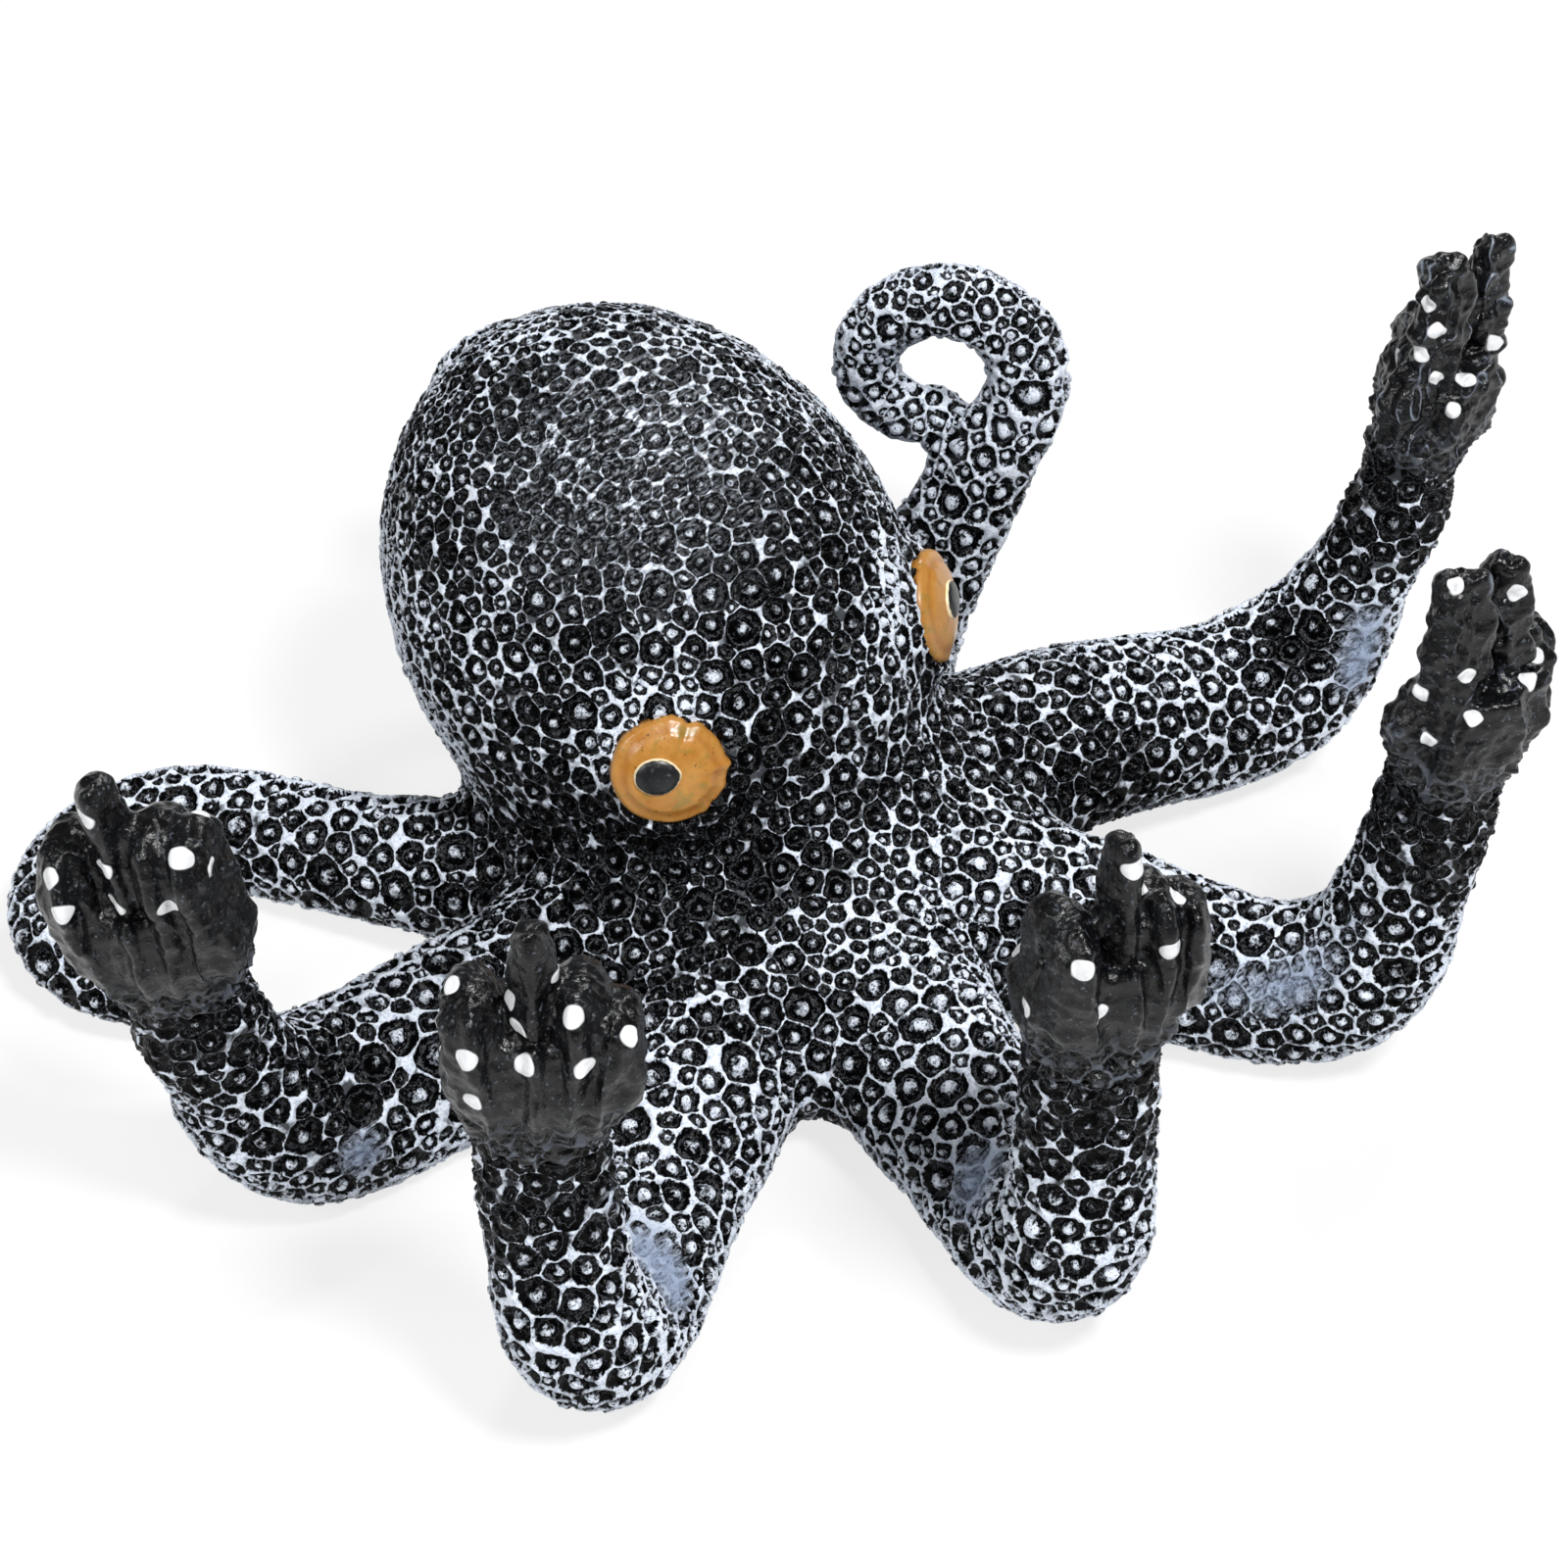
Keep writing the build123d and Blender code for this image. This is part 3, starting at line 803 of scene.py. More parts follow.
def skinMaterial():
    material, tree = newMaterial("drybrushedResin")
    spot = addNode(tree, "TexCoord").outputs["Object"]
    edge, core, luck, paint, smear, worn = [
        addNode(tree, "Attribute", attribute_name=field).outputs["Fac"]
        for field in ("edge", "core", "luck", "paint", "smear", "worn")
    ]
    grain = addNode(
        tree,
        "TexNoise",
        {"Vector": spot, "Scale": 1 / (skinPaint["grain"] * mm), "Detail": 3.0, "Roughness": 0.65},
    )
    pits = addNode(
        tree,
        "TexNoise",
        {"Vector": spot, "Scale": 1 / (skinPaint["pits"] * mm), "Detail": 2.0, "Roughness": 0.6},
    )
    drift = addNode(
        tree, "TexNoise", {"Vector": spot, "Scale": 1 / (skinPaint["drift"] * mm), "Detail": 2.0}
    )
    loose = addNode(tree, "Math", {0: grain, 1: 0.5}, operation="SUBTRACT")
    broad = addNode(tree, "Math", {0: pits, 1: 0.5}, operation="SUBTRACT")
    patchy = addNode(tree, "Math", {0: drift, 1: 0.9, 2: paint}, operation="MULTIPLY_ADD")
    took = addNode(tree, "MapRange", {"Value": patchy, "From Min": 0.5, "From Max": 1.3})
    # pale net on the walls, wider where more paint took
    wobble = addNode(tree, "Math", {0: loose, 1: 0.3, 2: edge}, operation="MULTIPLY_ADD")
    gape = addNode(tree, "Math", {0: took, 1: 0.8}, operation="MULTIPLY")
    wobble = addNode(tree, "Math", {0: broad, 1: gape, 2: wobble}, operation="MULTIPLY_ADD")
    reach = addNode(tree, "MapRange", {"Value": took, "To Min": 0.045, "To Max": 0.18})
    inner = addNode(tree, "Math", {0: reach, 1: 0.07}, operation="SUBTRACT")
    ridge = addNode(tree, "MapRange", {"Value": wobble, "From Min": reach, "From Max": inner})
    ridgePaint = addNode(tree, "MapRange", {"Value": took, "To Min": 0.92, "To Max": 1.0})
    ridgeMask = addNode(tree, "Math", {0: ridge, 1: ridgePaint}, operation="MULTIPLY")
    breaks = addNode(
        tree, "TexNoise", {"Vector": spot, "Scale": 1 / (skinPaint["breaks"] * mm), "Detail": 2.0}
    )
    whole = addNode(tree, "Math", {0: took, 1: 0.35, 2: breaks}, operation="MULTIPLY_ADD")
    whole = addNode(tree, "MapRange", {"Value": whole, "From Min": 0.47, "From Max": 0.6, "To Min": 0.08})
    ridgeMask = addNode(tree, "Math", {0: ridgeMask, 1: whole}, operation="MULTIPLY")
    # broken pale blob on each boss
    ragged = addNode(tree, "Math", {0: loose, 1: 0.7, 2: core}, operation="MULTIPLY_ADD")
    ragged = addNode(tree, "Math", {0: broad, 1: 0.9, 2: ragged}, operation="MULTIPLY_ADD")
    lucky = addNode(tree, "Math", {0: luck, 1: 0.5, 2: took}, operation="MULTIPLY_ADD")
    brim = addNode(tree, "MapRange", {"Value": lucky, "From Max": 1.4, "To Min": 0.12, "To Max": 0.54})
    heart = addNode(tree, "Math", {0: brim, 1: 0.14}, operation="SUBTRACT")
    boss = addNode(tree, "MapRange", {"Value": ragged, "From Min": brim, "From Max": heart})
    bossPaint = addNode(tree, "MapRange", {"Value": lucky, "From Max": 1.1, "To Min": 0.6, "To Max": 1.0})
    bossMask = addNode(tree, "Math", {0: boss, 1: bossPaint}, operation="MULTIPLY")
    fleck = addNode(tree, "Math", {0: took, 1: 0.14, 2: grain}, operation="MULTIPLY_ADD")
    fleck = addNode(tree, "MapRange", {"Value": fleck, "From Min": 0.44, "From Max": 0.56, "To Min": 0.2})
    bossMask = addNode(tree, "Math", {0: bossMask, 1: fleck}, operation="MULTIPLY")
    # faint ring between wall and boss
    offRing = addNode(tree, "Math", {0: ragged, 1: 0.7}, operation="SUBTRACT")
    offRing = addNode(tree, "Math", {0: offRing}, operation="ABSOLUTE")
    ring = addNode(tree, "MapRange", {"Value": offRing, "From Min": 0.06, "From Max": 0.0, "To Max": 0.1})
    marks = addNode(tree, "Math", {0: ridgeMask, 1: bossMask}, operation="MAXIMUM")
    marks = addNode(tree, "Math", {0: marks, 1: ring}, operation="MAXIMUM")
    # brush streaks where the paint was wiped on
    long, wide = [1 / (skinPaint[size] * mm) for size in ("streakLong", "streakWide")]
    lines = addNode(
        tree,
        "Mapping",
        {
            "Vector": spot,
            "Rotation": (0.3, 0.2, math.radians(-25)),
            "Scale": (long, wide, wide),
        },
    )
    streak = addNode(tree, "TexNoise", {"Vector": lines, "Scale": 1.0, "Detail": 2.0, "Roughness": 0.6})
    wiped = addNode(tree, "MapRange", {"Value": streak, "From Min": 0.52, "From Max": 0.72, "To Max": 0.4})
    wiped = addNode(tree, "Math", {0: wiped, 1: worn}, operation="MULTIPLY")
    thick = addNode(tree, "Math", {0: streak, 1: smear}, operation="ADD")
    thick = addNode(tree, "MapRange", {"Value": thick, "From Min": 0.85, "From Max": 1.2, "To Max": 0.85})
    kept = addNode(tree, "MapRange", {"Value": streak, "From Min": 0.42, "From Max": 0.53, "To Min": 0.14})
    fade = addNode(tree, "MapRange", {"Value": worn, "To Min": 1.0, "To Max": kept})
    marks = addNode(tree, "Math", {0: marks, 1: fade}, operation="MULTIPLY")
    marks = addNode(tree, "Math", {0: marks, 1: wiped}, operation="MAXIMUM")
    marks = addNode(tree, "Math", {0: marks, 1: thick}, operation="MAXIMUM", use_clamp=True)
    tone = addNode(tree, "MapRange", {"Value": grain, "From Min": 0.28, "From Max": 0.5})
    washed = addNode(tree, "MapRange", {"Value": smear, "From Min": 0.2, "From Max": 0.6, "To Max": 0.8})
    pale = addNode(
        tree, "Mix", {"Factor": tone, "A": skinPaint["paleDeep"], "B": skinPaint["pale"]}, data_type="RGBA"
    )
    pale = addNode(tree, "Mix", {"Factor": washed, "A": pale, "B": skinPaint["thin"]}, data_type="RGBA")
    under = addNode(
        tree,
        "Mix",
        {"Factor": worn, "A": skinPaint["black"], "B": skinPaint["blackWorn"]},
        data_type="RGBA",
    )
    colour = addNode(tree, "Mix", {"Factor": marks, "A": under, "B": pale}, data_type="RGBA")
    rough = addNode(tree, "MapRange", {"Value": marks, "To Min": 0.2, "To Max": 0.55})
    bump = addNode(tree, "Bump", {"Height": pits, "Strength": 0.8, "Distance": 0.22 * mm})
    bump = addNode(tree, "Bump", {"Height": grain, "Strength": 0.5, "Distance": 0.1 * mm, "Normal": bump})
    surface = addNode(
        tree,
        "BsdfPrincipled",
        {
            "Base Color": colour,
            "Roughness": rough,
            "Normal": bump,
            "IOR": 1.5,
            "Specular IOR Level": skinPaint["shine"],
        },
    )
    addNode(tree, "OutputMaterial", {"Surface": surface})
    return material


drybrushedResin = skinMaterial()
pieceOf = np.empty(len(fine.polygons), dtype=np.int32)
fine.attributes["piece"].data.foreach_get("value", pieceOf)
fineUvs = meshUvs(fine)
skinFields = {
    "edge": edge,
    "core": core,
    "luck": cupLuck[owner],
    "paint": paintField(finePoints),
    "smear": smear,
    "worn": worn,
}
for name in skinNames:
    chosen = pieceOf == blankNames.index(name)
    piece = buildPiece(name + "_skin", shaped, fineQuads[chosen], fineUvs[chosen], skinFields, drybrushedResin)
    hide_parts(name)
    print(piece.name, int(chosen.sum()), "faces")


# Fists: the CAD forms with tendons, lumps and white paint dots; dots are degrees round the wrist's axis
# from the back of the hand towards the little finger, and millimetres above the wrist
fistSettings = {
    "voxel": 0.5,
    "levels": 2,
    "smoothRounds": 3,
    "join": (0.3, 3.0),
    "cupFade": (1.0, 7.5),
    "lumps": [(3.2, 0.42), (1.4, 0.22), (0.7, 0.08)],
    "creaseWide": 1.5,
    "creaseHeight": 0.16,
    "worked": {"left_1": 1.7, "left_2": 2.3, "right_1": 1.0, "right_2": 1.0, "right_3": 1.0},
    "shine": 0.36,
    "tendonHeight": 1.0,
    "tendonWidth": 0.85,
    "knuckles": {"index": -0.58, "middle": 0.06, "ring": 0.48, "little": 0.85},
    "halfWidth": 8.6,
    "knuckleHeight": 12.3,
    "dotRadius": 0.84,
    "dotHeight": 0.1,
    "dots": {
        "left_1": [
            (-120, 25), (-24, 22), (-138, 14), (-121, 12.5), (-107, 8), (-93, 16), (-80, 12),
            (27, 13), (-14, 13), (70, 10), (165, 9),
        ],
        "left_2": [
            (-125, 20), (-113, 17.5), (-121, 14.5), (-78, 12), (-104, 12), (-87, 9), (-10, 13),
            (30, 9), (80, 14), (170, 10),
        ],
        "right_1": [
            (-130, 9), (-86, 7.5), (-44, 15), (-28, 9), (8, 23), (46, 19), (62, 17.5),
            (33, 14.5), (93, 18.5), (150, 9), (-165, 12),
        ],
        "right_2": [
            (-80, 17), (-30, 17), (-12, 15), (40, 17), (47, 19.5), (62, 14.5), (-41, 13.5),
            (-4, 12.5), (38, 13), (-72, 14), (-76, 9.5), (-40, 8.5), (140, 10), (-150, 12),
        ],
        "right_3": [
            (-1, 25.5), (-2, 19.5), (-5, 15), (-52, 18.5), (-38, 16), (-75, 20.5), (-78, 16),
            (59, 21), (42, 16.5), (68, 19), (93, 21), (150, 10), (-150, 9),
        ],
    },
}
lowerSkin = {}
for name in wrists:
    gap = np.linalg.norm(finePoints[fineQuads[:, 0]] - np.array(wristFrame(name).translation), axis=1)
    part = fineQuads[gap < 15]
    used, corners = np.unique(part, return_inverse=True)
    lowerSkin[name] = BVHTree.FromPolygons(finePoints[used].tolist(), corners.reshape(-1, 4).tolist())


def fistBlank(name):  # fine quad skin of the fist above its wrist plane
    place = wristFrame(name)
    bm = castBlank(["fist_" + name, "arm_" + name], fistSettings["voxel"])
    points = smoothBlank(bmPoints(bm), edgePairs(bm), fistSettings["smoothRounds"])
    for vert, spot in zip(bm.verts, points):
        vert.co = spot
    bmesh.ops.bisect_plane(
        bm,
        geom=bm.verts[:] + bm.edges[:] + bm.faces[:],
        dist=0.03,
        plane_co=place.translation,
        plane_no=place.col[2].to_3d(),
        clear_inner=True,
    )
    keepLargest(bm)
    mesh = bpy.data.meshes.new("fistBlank")
    bm.to_mesh(mesh)
    bm.free()
    shape = bpy.data.objects.new("fistBlank", mesh)
    scene.collection.objects.link(shape)
    unwrapPieces(shape, [0] * len(mesh.polygons))
    shape.modifiers.new("fine", "SUBSURF").levels = fistSettings["levels"]
    result = evaluated(shape)
    bpy.data.objects.remove(shape)
    return result


def fistRelief(local, normals, name):  # tendons on the back of the hand, and hand-worked lumps
    size = wrists[name]["size"]
    rise = np.zeros(len(local))
    back = smoothStep(0.2, 0.7, normals[:, 0])
    along = np.clip(local[:, 2] / (fistSettings["knuckleHeight"] * size), 0, 1)
    for row in fistSettings["knuckles"].values():
        line = row * fistSettings["halfWidth"] * size * (0.45 + 0.5 * along)
        off = (local[:, 1] - line) / fistSettings["tendonWidth"]
        rise += fistSettings["tendonHeight"] * np.exp(-(off**2)) * back * smoothStep(0.12, 0.4, along)
    creases = np.array(
        [abs(noise.noise(Vector((x, y, z * 0.4)) / fistSettings["creaseWide"])) for x, y, z in local]
    )
    rough = layered(local, fistSettings["lumps"]) + fistSettings["creaseHeight"] * (0.5 - 2 * creases)
    worked = fistSettings["worked"][name]
    crest = (worked - 1) * smoothStep(0.05, 0.0, creases)
    return rise + worked * rough, crest


# Satin black resin of the hands: a charcoal base coat with a faint grey speckle and blobs of white paint
fistPaint = {"black": "#040405", "grey": "#121315", "pale": "#9aa4b6", "dot": "#e2e4e6", "grain": 0.5, "cloud": 3.0}


def fistMaterial():
    material, tree = newMaterial("satinBlackResin")
    spot = addNode(tree, "TexCoord").outputs["Object"]
    edge, core, lower, dot, crest = [
        addNode(tree, "Attribute", attribute_name=field).outputs["Fac"]
        for field in ("edge", "core", "lower", "dot", "crest")
    ]
    grain = addNode(
        tree,
        "TexNoise",
        {"Vector": spot, "Scale": 1 / (fistPaint["grain"] * mm), "Detail": 3.0, "Roughness": 0.7},
    )
    cloud = addNode(
        tree, "TexNoise", {"Vector": spot, "Scale": 1 / (fistPaint["cloud"] * mm), "Detail": 3.0}
    )
    loose = addNode(tree, "Math", {0: grain, 1: 0.5}, operation="SUBTRACT")
    shade = addNode(tree, "MapRange", {"Value": cloud, "From Min": 0.4, "From Max": 0.68})
    base = addNode(
        tree, "Mix", {"Factor": shade, "A": fistPaint["black"], "B": fistPaint["grey"]}, data_type="RGBA"
    )
    speck = addNode(tree, "MapRange", {"Value": grain, "From Min": 0.6, "From Max": 0.72, "To Max": 0.3})
    wobble = addNode(tree, "Math", {0: loose, 1: 0.4, 2: edge}, operation="MULTIPLY_ADD")
    net = addNode(tree, "MapRange", {"Value": wobble, "From Min": 0.14, "From Max": 0.04})
    net = addNode(tree, "Math", {0: net, 1: lower}, operation="MULTIPLY")
    boss = addNode(tree, "MapRange", {"Value": core, "From Min": 0.4, "From Max": 0.2, "To Max": 0.5})
    boss = addNode(tree, "Math", {0: boss, 1: lower}, operation="MULTIPLY")
    brushed = addNode(tree, "MapRange", {"Value": cloud, "From Min": 0.5, "From Max": 0.62, "To Max": 0.55})
    brushed = addNode(tree, "Math", {0: brushed, 1: crest}, operation="MULTIPLY")
    marks = addNode(tree, "Math", {0: net, 1: boss}, operation="MAXIMUM")
    marks = addNode(tree, "Math", {0: marks, 1: brushed}, operation="MAXIMUM")
    marks = addNode(tree, "Math", {0: marks, 1: speck}, operation="MAXIMUM", use_clamp=True)
    resin = addNode(tree, "Mix", {"Factor": marks, "A": base, "B": fistPaint["pale"]}, data_type="RGBA")
    blob = addNode(tree, "MapRange", {"Value": dot, "From Min": -0.05, "From Max": 0.07})
    colour = addNode(tree, "Mix", {"Factor": blob, "A": resin, "B": fistPaint["dot"]}, data_type="RGBA")
    rough = addNode(
        tree, "MapRange", {"Value": grain, "From Min": 0.3, "From Max": 0.7, "To Min": 0.16, "To Max": 0.34}
    )
    bump = addNode(tree, "Bump", {"Height": grain, "Strength": 0.6, "Distance": 0.16 * mm})
    surface = addNode(
        tree,
        "BsdfPrincipled",
        {
            "Base Color": colour,
            "Roughness": rough,
            "Normal": bump,
            "IOR": 1.5,
            "Specular IOR Level": fistSettings["shine"],
        },
    )
    addNode(tree, "OutputMaterial", {"Surface": surface})
    return material


satinBlackResin = fistMaterial()
for name in wrists:
    place = wristFrame(name)
    turned = np.array(place)[:3, :3]
    mesh = fistBlank(name)
    points, quads, uvs = meshPoints(mesh), meshQuads(mesh), meshUvs(mesh)
    height = toFrame(place, points)[:, 2]
    low = np.where(height < fistSettings["join"][1])[0]
    onArm = np.array([lowerSkin[name].find_nearest(Vector(points[index]))[0] for index in low])
    take = smoothStep(*fistSettings["join"], height[low])[:, None]
    points[low] = onArm * (1 - take) + points[low] * take
    normals = quadNormals(points, quads)
    local = toFrame(place, points)
    near = nearCups(points, cups, 6)
    edge, core, owner = readCups(bendCups(points), near)[:3]
    lower = 1 - smoothStep(*fistSettings["cupFade"], local[:, 2])
    rise, crest = fistRelief(local, normals @ turned, name)
    rise = rise * smoothStep(0.5, 4.0, local[:, 2])
    rise += skinRelief(points, edge, core, cups[owner, 3]) * lower
    tree = BVHTree.FromPolygons(points.tolist(), quads.tolist())
    dot = np.full(len(points), -5.0)
    for turn, up in fistSettings["dots"][name]:
        around = Vector((math.cos(math.radians(turn)), math.sin(math.radians(turn)), 0.0))
        source = place @ (around * 30 + Vector((0, 0, up)))
        hit = tree.ray_cast(source, place.to_3x3() @ -around)[0]
        if hit is not None:
            away = np.linalg.norm(points - np.array(hit), axis=1)
            dot = np.maximum(dot, fistSettings["dotRadius"] - away)
    wave = np.array([noise.noise(Vector(spot) * 0.9) for spot in local])
    dot += 0.3 * wave
    rise += fistSettings["dotHeight"] * smoothStep(-0.1, 0.15, dot)
    fields = {"edge": edge, "core": core, "lower": lower * 0.24, "dot": dot, "crest": crest}
    piece = buildPiece(f"fist_{name}_hand", points + normals * rise[:, None], quads, uvs, fields, satinBlackResin)
    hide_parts("fist_" + name)
    print(piece.name, len(quads), "faces")


# Eyes: low domed discs with a hand-painted ragged edge, and a pupil on each
def domedDisc(name, place, outline, top, skirt, fields, material, rings=30, spokes=144):
    angles = np.arange(spokes) * 2 * math.pi / spokes
    shares = np.arange(1, rings + 1) / rings
    share, angle = [grid.ravel() for grid in np.meshgrid(shares, angles, indexing="ij")]
    reach = share * outline(angle)
    local = np.stack([reach * np.cos(angle), reach * np.sin(angle), top(share, angle)], axis=1)
    rim = local[-spokes:].copy()
    rim[:, 2] = skirt
    centre = np.array([[0, 0, top(np.zeros(1), np.zeros(1))[0]], [0, 0, skirt]])
    local = np.concatenate([local, rim, centre])
    faces = []
    for ring in range(rings):
        for spoke in range(spokes):
            after = (spoke + 1) % spokes
            a, b = ring * spokes + spoke, ring * spokes + after
            faces.append((a, a + spokes, b + spokes, b))
    front, behind = len(local) - 2, len(local) - 1
    for spoke in range(spokes):
        after = (spoke + 1) % spokes
        faces.append((front, spoke, after))
        faces.append((behind, rings * spokes + after, rings * spokes + spoke))
    mesh = bpy.data.meshes.new(name)
    mesh.from_pydata((fromFrame(place, local) * mm).tolist(), [], faces)
    mesh.shade_smooth()
    layer = mesh.uv_layers.new(name="OFBake")
    wide = np.abs(local[:, :2]).max() * 2.1
    spread = local[:, :2] / wide + 0.5
    spread[rings * spokes : rings * spokes + spokes] = 0.005
    spread[behind] = 0.01
    layer.data.foreach_set("uv", spread[[loop.vertex_index for loop in mesh.loops]].ravel())
    for field, values in fields(share, angle).items():
        attribute = mesh.attributes.new(field, "FLOAT", "POINT")
        column = np.full(len(local), values[-1])
        column[: len(values)] = values
        column[front] = values[0]
        attribute.data.foreach_set("value", column)
    mesh.materials.append(material)
    piece = bpy.data.objects.new(name, mesh)
    scene.collection.objects.link(piece)
    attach(piece, "root")
    return piece


# Ochre enamel brushed on by hand: warm and glossy, with olive and black smudges, and painted shade in the groove of
# the step
eyePaint = {"ochre": "#aa712c", "light": "#ba853f", "deep": "#985c1c", "olive": "#7d7534", "black": "#1b1a14"}


def eyeMaterial():
    material, tree = newMaterial("ochreEnamel")
    spot = addNode(tree, "TexCoord").outputs["Object"]
    step = addNode(tree, "Attribute", attribute_name="step").outputs["Fac"]
    rim = addNode(tree, "Attribute", attribute_name="rim").outputs["Fac"]
    cloud = addNode(
        tree, "TexNoise", {"Vector": spot, "Scale": 1 / (2.2 * mm), "Detail": 4.0, "Roughness": 0.6}
    )
    smudge = addNode(
        tree,
        "TexNoise",
        {"Vector": spot, "Scale": 1 / (1.4 * mm), "Detail": 4.0, "Roughness": 0.65, "Distortion": 0.8},
    )
    speck = addNode(tree, "TexNoise", {"Vector": spot, "Scale": 1 / (0.45 * mm), "Detail": 2.0})
    tone = addNode(tree, "MapRange", {"Value": cloud, "From Min": 0.35, "From Max": 0.65})
    colour = addNode(
        tree, "Mix", {"Factor": tone, "A": eyePaint["ochre"], "B": eyePaint["light"]}, data_type="RGBA"
    )
    # painted shade: the sunk step near the eye's edge is darkened with the deep ochre
    depth = addNode(tree, "Math", {0: step, 1: 0.55}, operation="MULTIPLY")
    colour = addNode(tree, "Mix", {"Factor": depth, "A": colour, "B": eyePaint["deep"]}, data_type="RGBA")
    green = addNode(tree, "MapRange", {"Value": smudge, "From Min": 0.55, "From Max": 0.68, "To Max": 0.6})
    colour = addNode(tree, "Mix", {"Factor": green, "A": colour, "B": eyePaint["olive"]}, data_type="RGBA")
    dark = addNode(tree, "MapRange", {"Value": speck, "From Min": 0.67, "From Max": 0.73, "To Max": 0.8})
    colour = addNode(tree, "Mix", {"Factor": dark, "A": colour, "B": eyePaint["black"]}, data_type="RGBA")
    brink = addNode(tree, "Math", {0: speck, 1: 0.12, 2: rim}, operation="MULTIPLY_ADD")
    brink = addNode(tree, "MapRange", {"Value": brink, "From Min": 1.05, "From Max": 1.09})
    colour = addNode(tree, "Mix", {"Factor": brink, "A": colour, "B": eyePaint["black"]}, data_type="RGBA")
    rough = addNode(
        tree, "MapRange", {"Value": cloud, "From Min": 0.3, "From Max": 0.7, "To Min": 0.22, "To Max": 0.42}
    )
    bump = addNode(tree, "Bump", {"Height": smudge, "Strength": 0.4, "Distance": 0.15 * mm})
    surface = addNode(
        tree, "BsdfPrincipled", {"Base Color": colour, "Roughness": rough, "Normal": bump, "IOR": 1.5}
    )
    addNode(tree, "OutputMaterial", {"Surface": surface})
    return material


# Black gloss enamel of the pupils: near black with a dusting of grey specks and a thin cream line round the edge, a
# painted highlight on the pupil's rim
pupilPaint = {"black": "#141517", "speck": "#5a5c60", "line": "#e6d6b0"}


def pupilMaterial():
    material, tree = newMaterial("blackEnamel")
    spot = addNode(tree, "TexCoord").outputs["Object"]
    rim = addNode(tree, "Attribute", attribute_name="rim").outputs["Fac"]
    speck = addNode(tree, "TexNoise", {"Vector": spot, "Scale": 1 / (0.4 * mm), "Detail": 2.0})
    dust = addNode(tree, "MapRange", {"Value": speck, "From Min": 0.6, "From Max": 0.75, "To Max": 0.7})
    colour = addNode(
        tree, "Mix", {"Factor": dust, "A": pupilPaint["black"], "B": pupilPaint["speck"]}, data_type="RGBA"
    )
    # painted highlight: a thin cream line all round the pupil's rim
    wobble = addNode(tree, "Math", {0: speck, 1: 0.06, 2: rim}, operation="MULTIPLY_ADD")
    line = addNode(tree, "MapRange", {"Value": wobble, "From Min": 0.94, "From Max": 0.97})
    colour = addNode(tree, "Mix", {"Factor": line, "A": colour, "B": pupilPaint["line"]}, data_type="RGBA")
    rough = addNode(tree, "MapRange", {"Value": speck, "To Min": 0.25, "To Max": 0.45})
    surface = addNode(tree, "BsdfPrincipled", {"Base Color": colour, "Roughness": rough, "IOR": 1.5})
    addNode(tree, "OutputMaterial", {"Surface": surface})
    return material


ochreEnamel = eyeMaterial()
blackEnamel = pupilMaterial()


def angleGap(angle, degrees):
    return np.abs((np.degrees(angle) - degrees + 180) % 360 - 180)


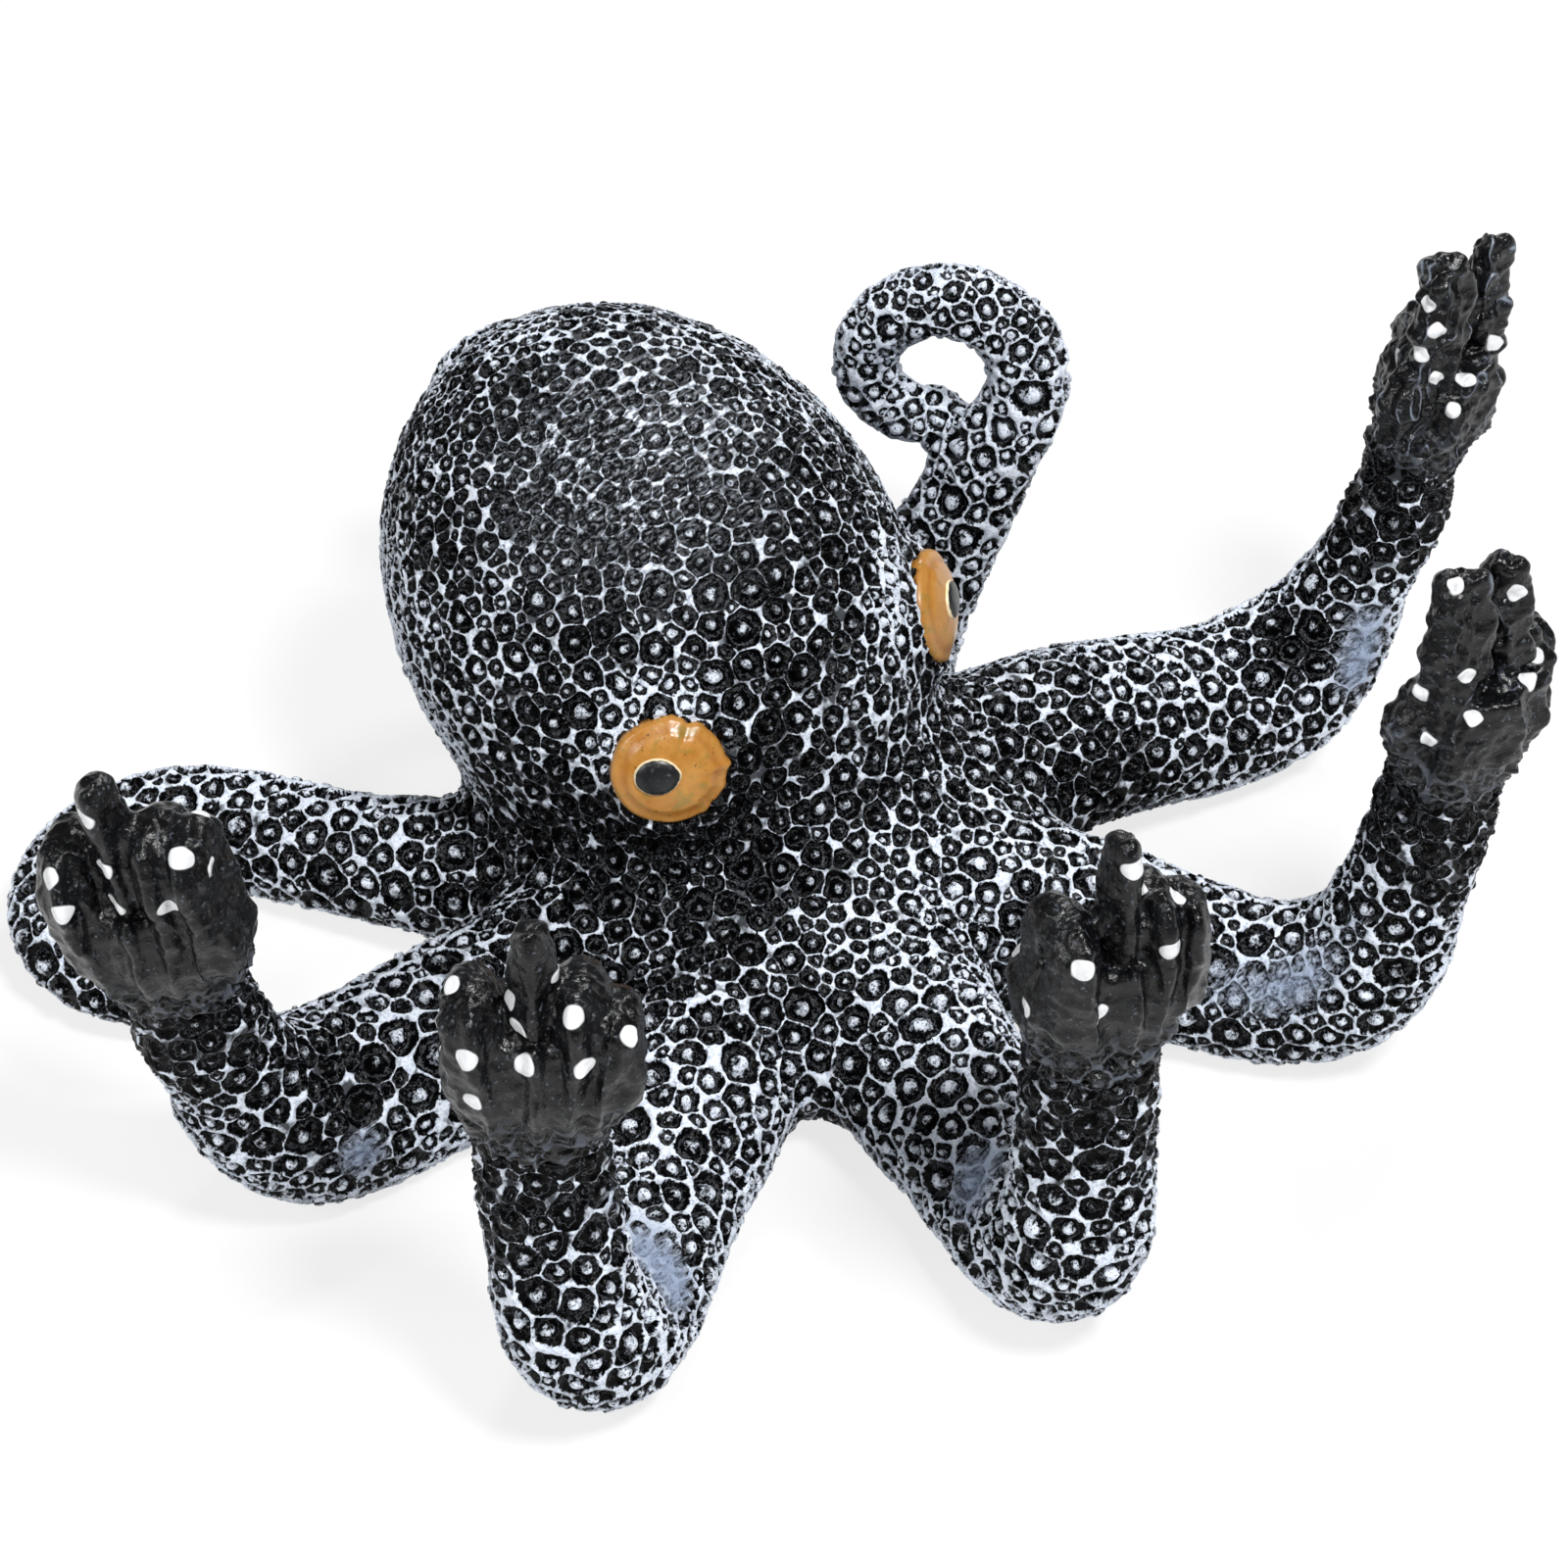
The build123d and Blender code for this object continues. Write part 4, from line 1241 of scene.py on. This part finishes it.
for sideName, seat in eyeSettings["seats"].items():
    side = seat["side"]
    place = eyeFrame(sideName)
    ragged = eyeSettings["ragged"][sideName]

    def eyeOutline(angle):
        wave = np.array([noise.noise(Vector((math.cos(a) * 2.2, math.sin(a) * 2.2, side * 3.0))) for a in angle])
        fine = np.array([noise.noise(Vector((math.cos(a) * 9, math.sin(a) * 9, side * 5.0))) for a in angle])
        oval = 1 / np.sqrt((np.cos(angle) / seat["stretch"][0]) ** 2 + (np.sin(angle) / seat["stretch"][1]) ** 2)
        reach = eyeSettings["radius"] * oval * (0.985 + 0.02 * wave + 0.003 * fine)
        for degrees, width, depth in ragged:
            reach += depth * np.exp(-((angleGap(angle, degrees) / width) ** 2))
        return reach

    def eyeHeight(share, angle):
        return eyeTop(share)

    def eyeFields(share, angle):
        # band of the sunk step, which carries the painted shade
        step = np.exp(-(((share - 0.8) / 0.05) ** 2))
        return {"step": step, "rim": share}

    piece = domedDisc(f"eye_{sideName}_dome", place, eyeOutline, eyeHeight, eyeSettings["skirt"], eyeFields, ochreEnamel)
    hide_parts("eye_" + sideName)

    shift = seat["pupilShift"]
    share = shift / eyeSettings["radius"]
    height = eyeSettings["dome"] * math.sqrt(1 - share**2)
    slope = eyeSettings["dome"] ** 2 * shift / (eyeSettings["radius"] ** 2 * height)
    outward = Vector((side * slope, 0, 1)).normalized()
    level = Vector((1, 0, -side * slope)).normalized()
    tilt = Matrix((level, outward.cross(level), outward)).transposed().to_4x4()
    pupilPlace = place @ Matrix.Translation((side * shift, 0, height)) @ tilt

    def pupilOutline(angle):
        long, wide = eyeSettings["pupilLength"] / 2, eyeSettings["pupilWidth"] / 2
        oval = 1 / np.sqrt((np.cos(angle) / long) ** 2 + (np.sin(angle) / wide) ** 2)
        corner = np.exp(-((angleGap(angle, 4 if side < 0 else 88) / 16) ** 2))
        return oval * (1 + 0.06 * corner)

    def pupilTop(share, angle):
        return eyeSettings["pupilDome"] * np.sqrt(np.clip(1 - share**2.6, 0, None)) - 0.12

    def pupilFields(share, angle):
        return {"rim": share}

    piece = domedDisc(
        f"pupil_{sideName}_dome", pupilPlace, pupilOutline, pupilTop, eyeSettings["pupilSkirt"],
        pupilFields, blackEnamel, rings=16, spokes=96,
    )
    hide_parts("pupil_" + sideName)
print("eyes and pupils")


# Drawn steel of the hidden wrist pins: grey metal with fine lines along its length
pinSettings = {"colour": "#8d9094", "line": 0.12}
drawnSteel, tree = newMaterial("drawnSteel")
spot = addNode(tree, "TexCoord").outputs["Object"]
fineLine = 1 / (pinSettings["line"] * mm)
lines = addNode(tree, "Mapping", {"Vector": spot, "Scale": (fineLine, fineLine, 60)})
scratch = addNode(tree, "TexNoise", {"Vector": lines, "Scale": 1.0, "Detail": 2.0})
rough = addNode(tree, "MapRange", {"Value": scratch, "To Min": 0.25, "To Max": 0.5})
bump = addNode(tree, "Bump", {"Height": scratch, "Strength": 0.2, "Distance": 0.02 * mm})
surface = addNode(
    tree,
    "BsdfPrincipled",
    {"Base Color": pinSettings["colour"], "Metallic": 1.0, "Roughness": rough, "Normal": bump},
)
addNode(tree, "OutputMaterial", {"Surface": surface})
for slot in nodes["wrist_pins"].material_slots:
    slot.material = drawnSteel
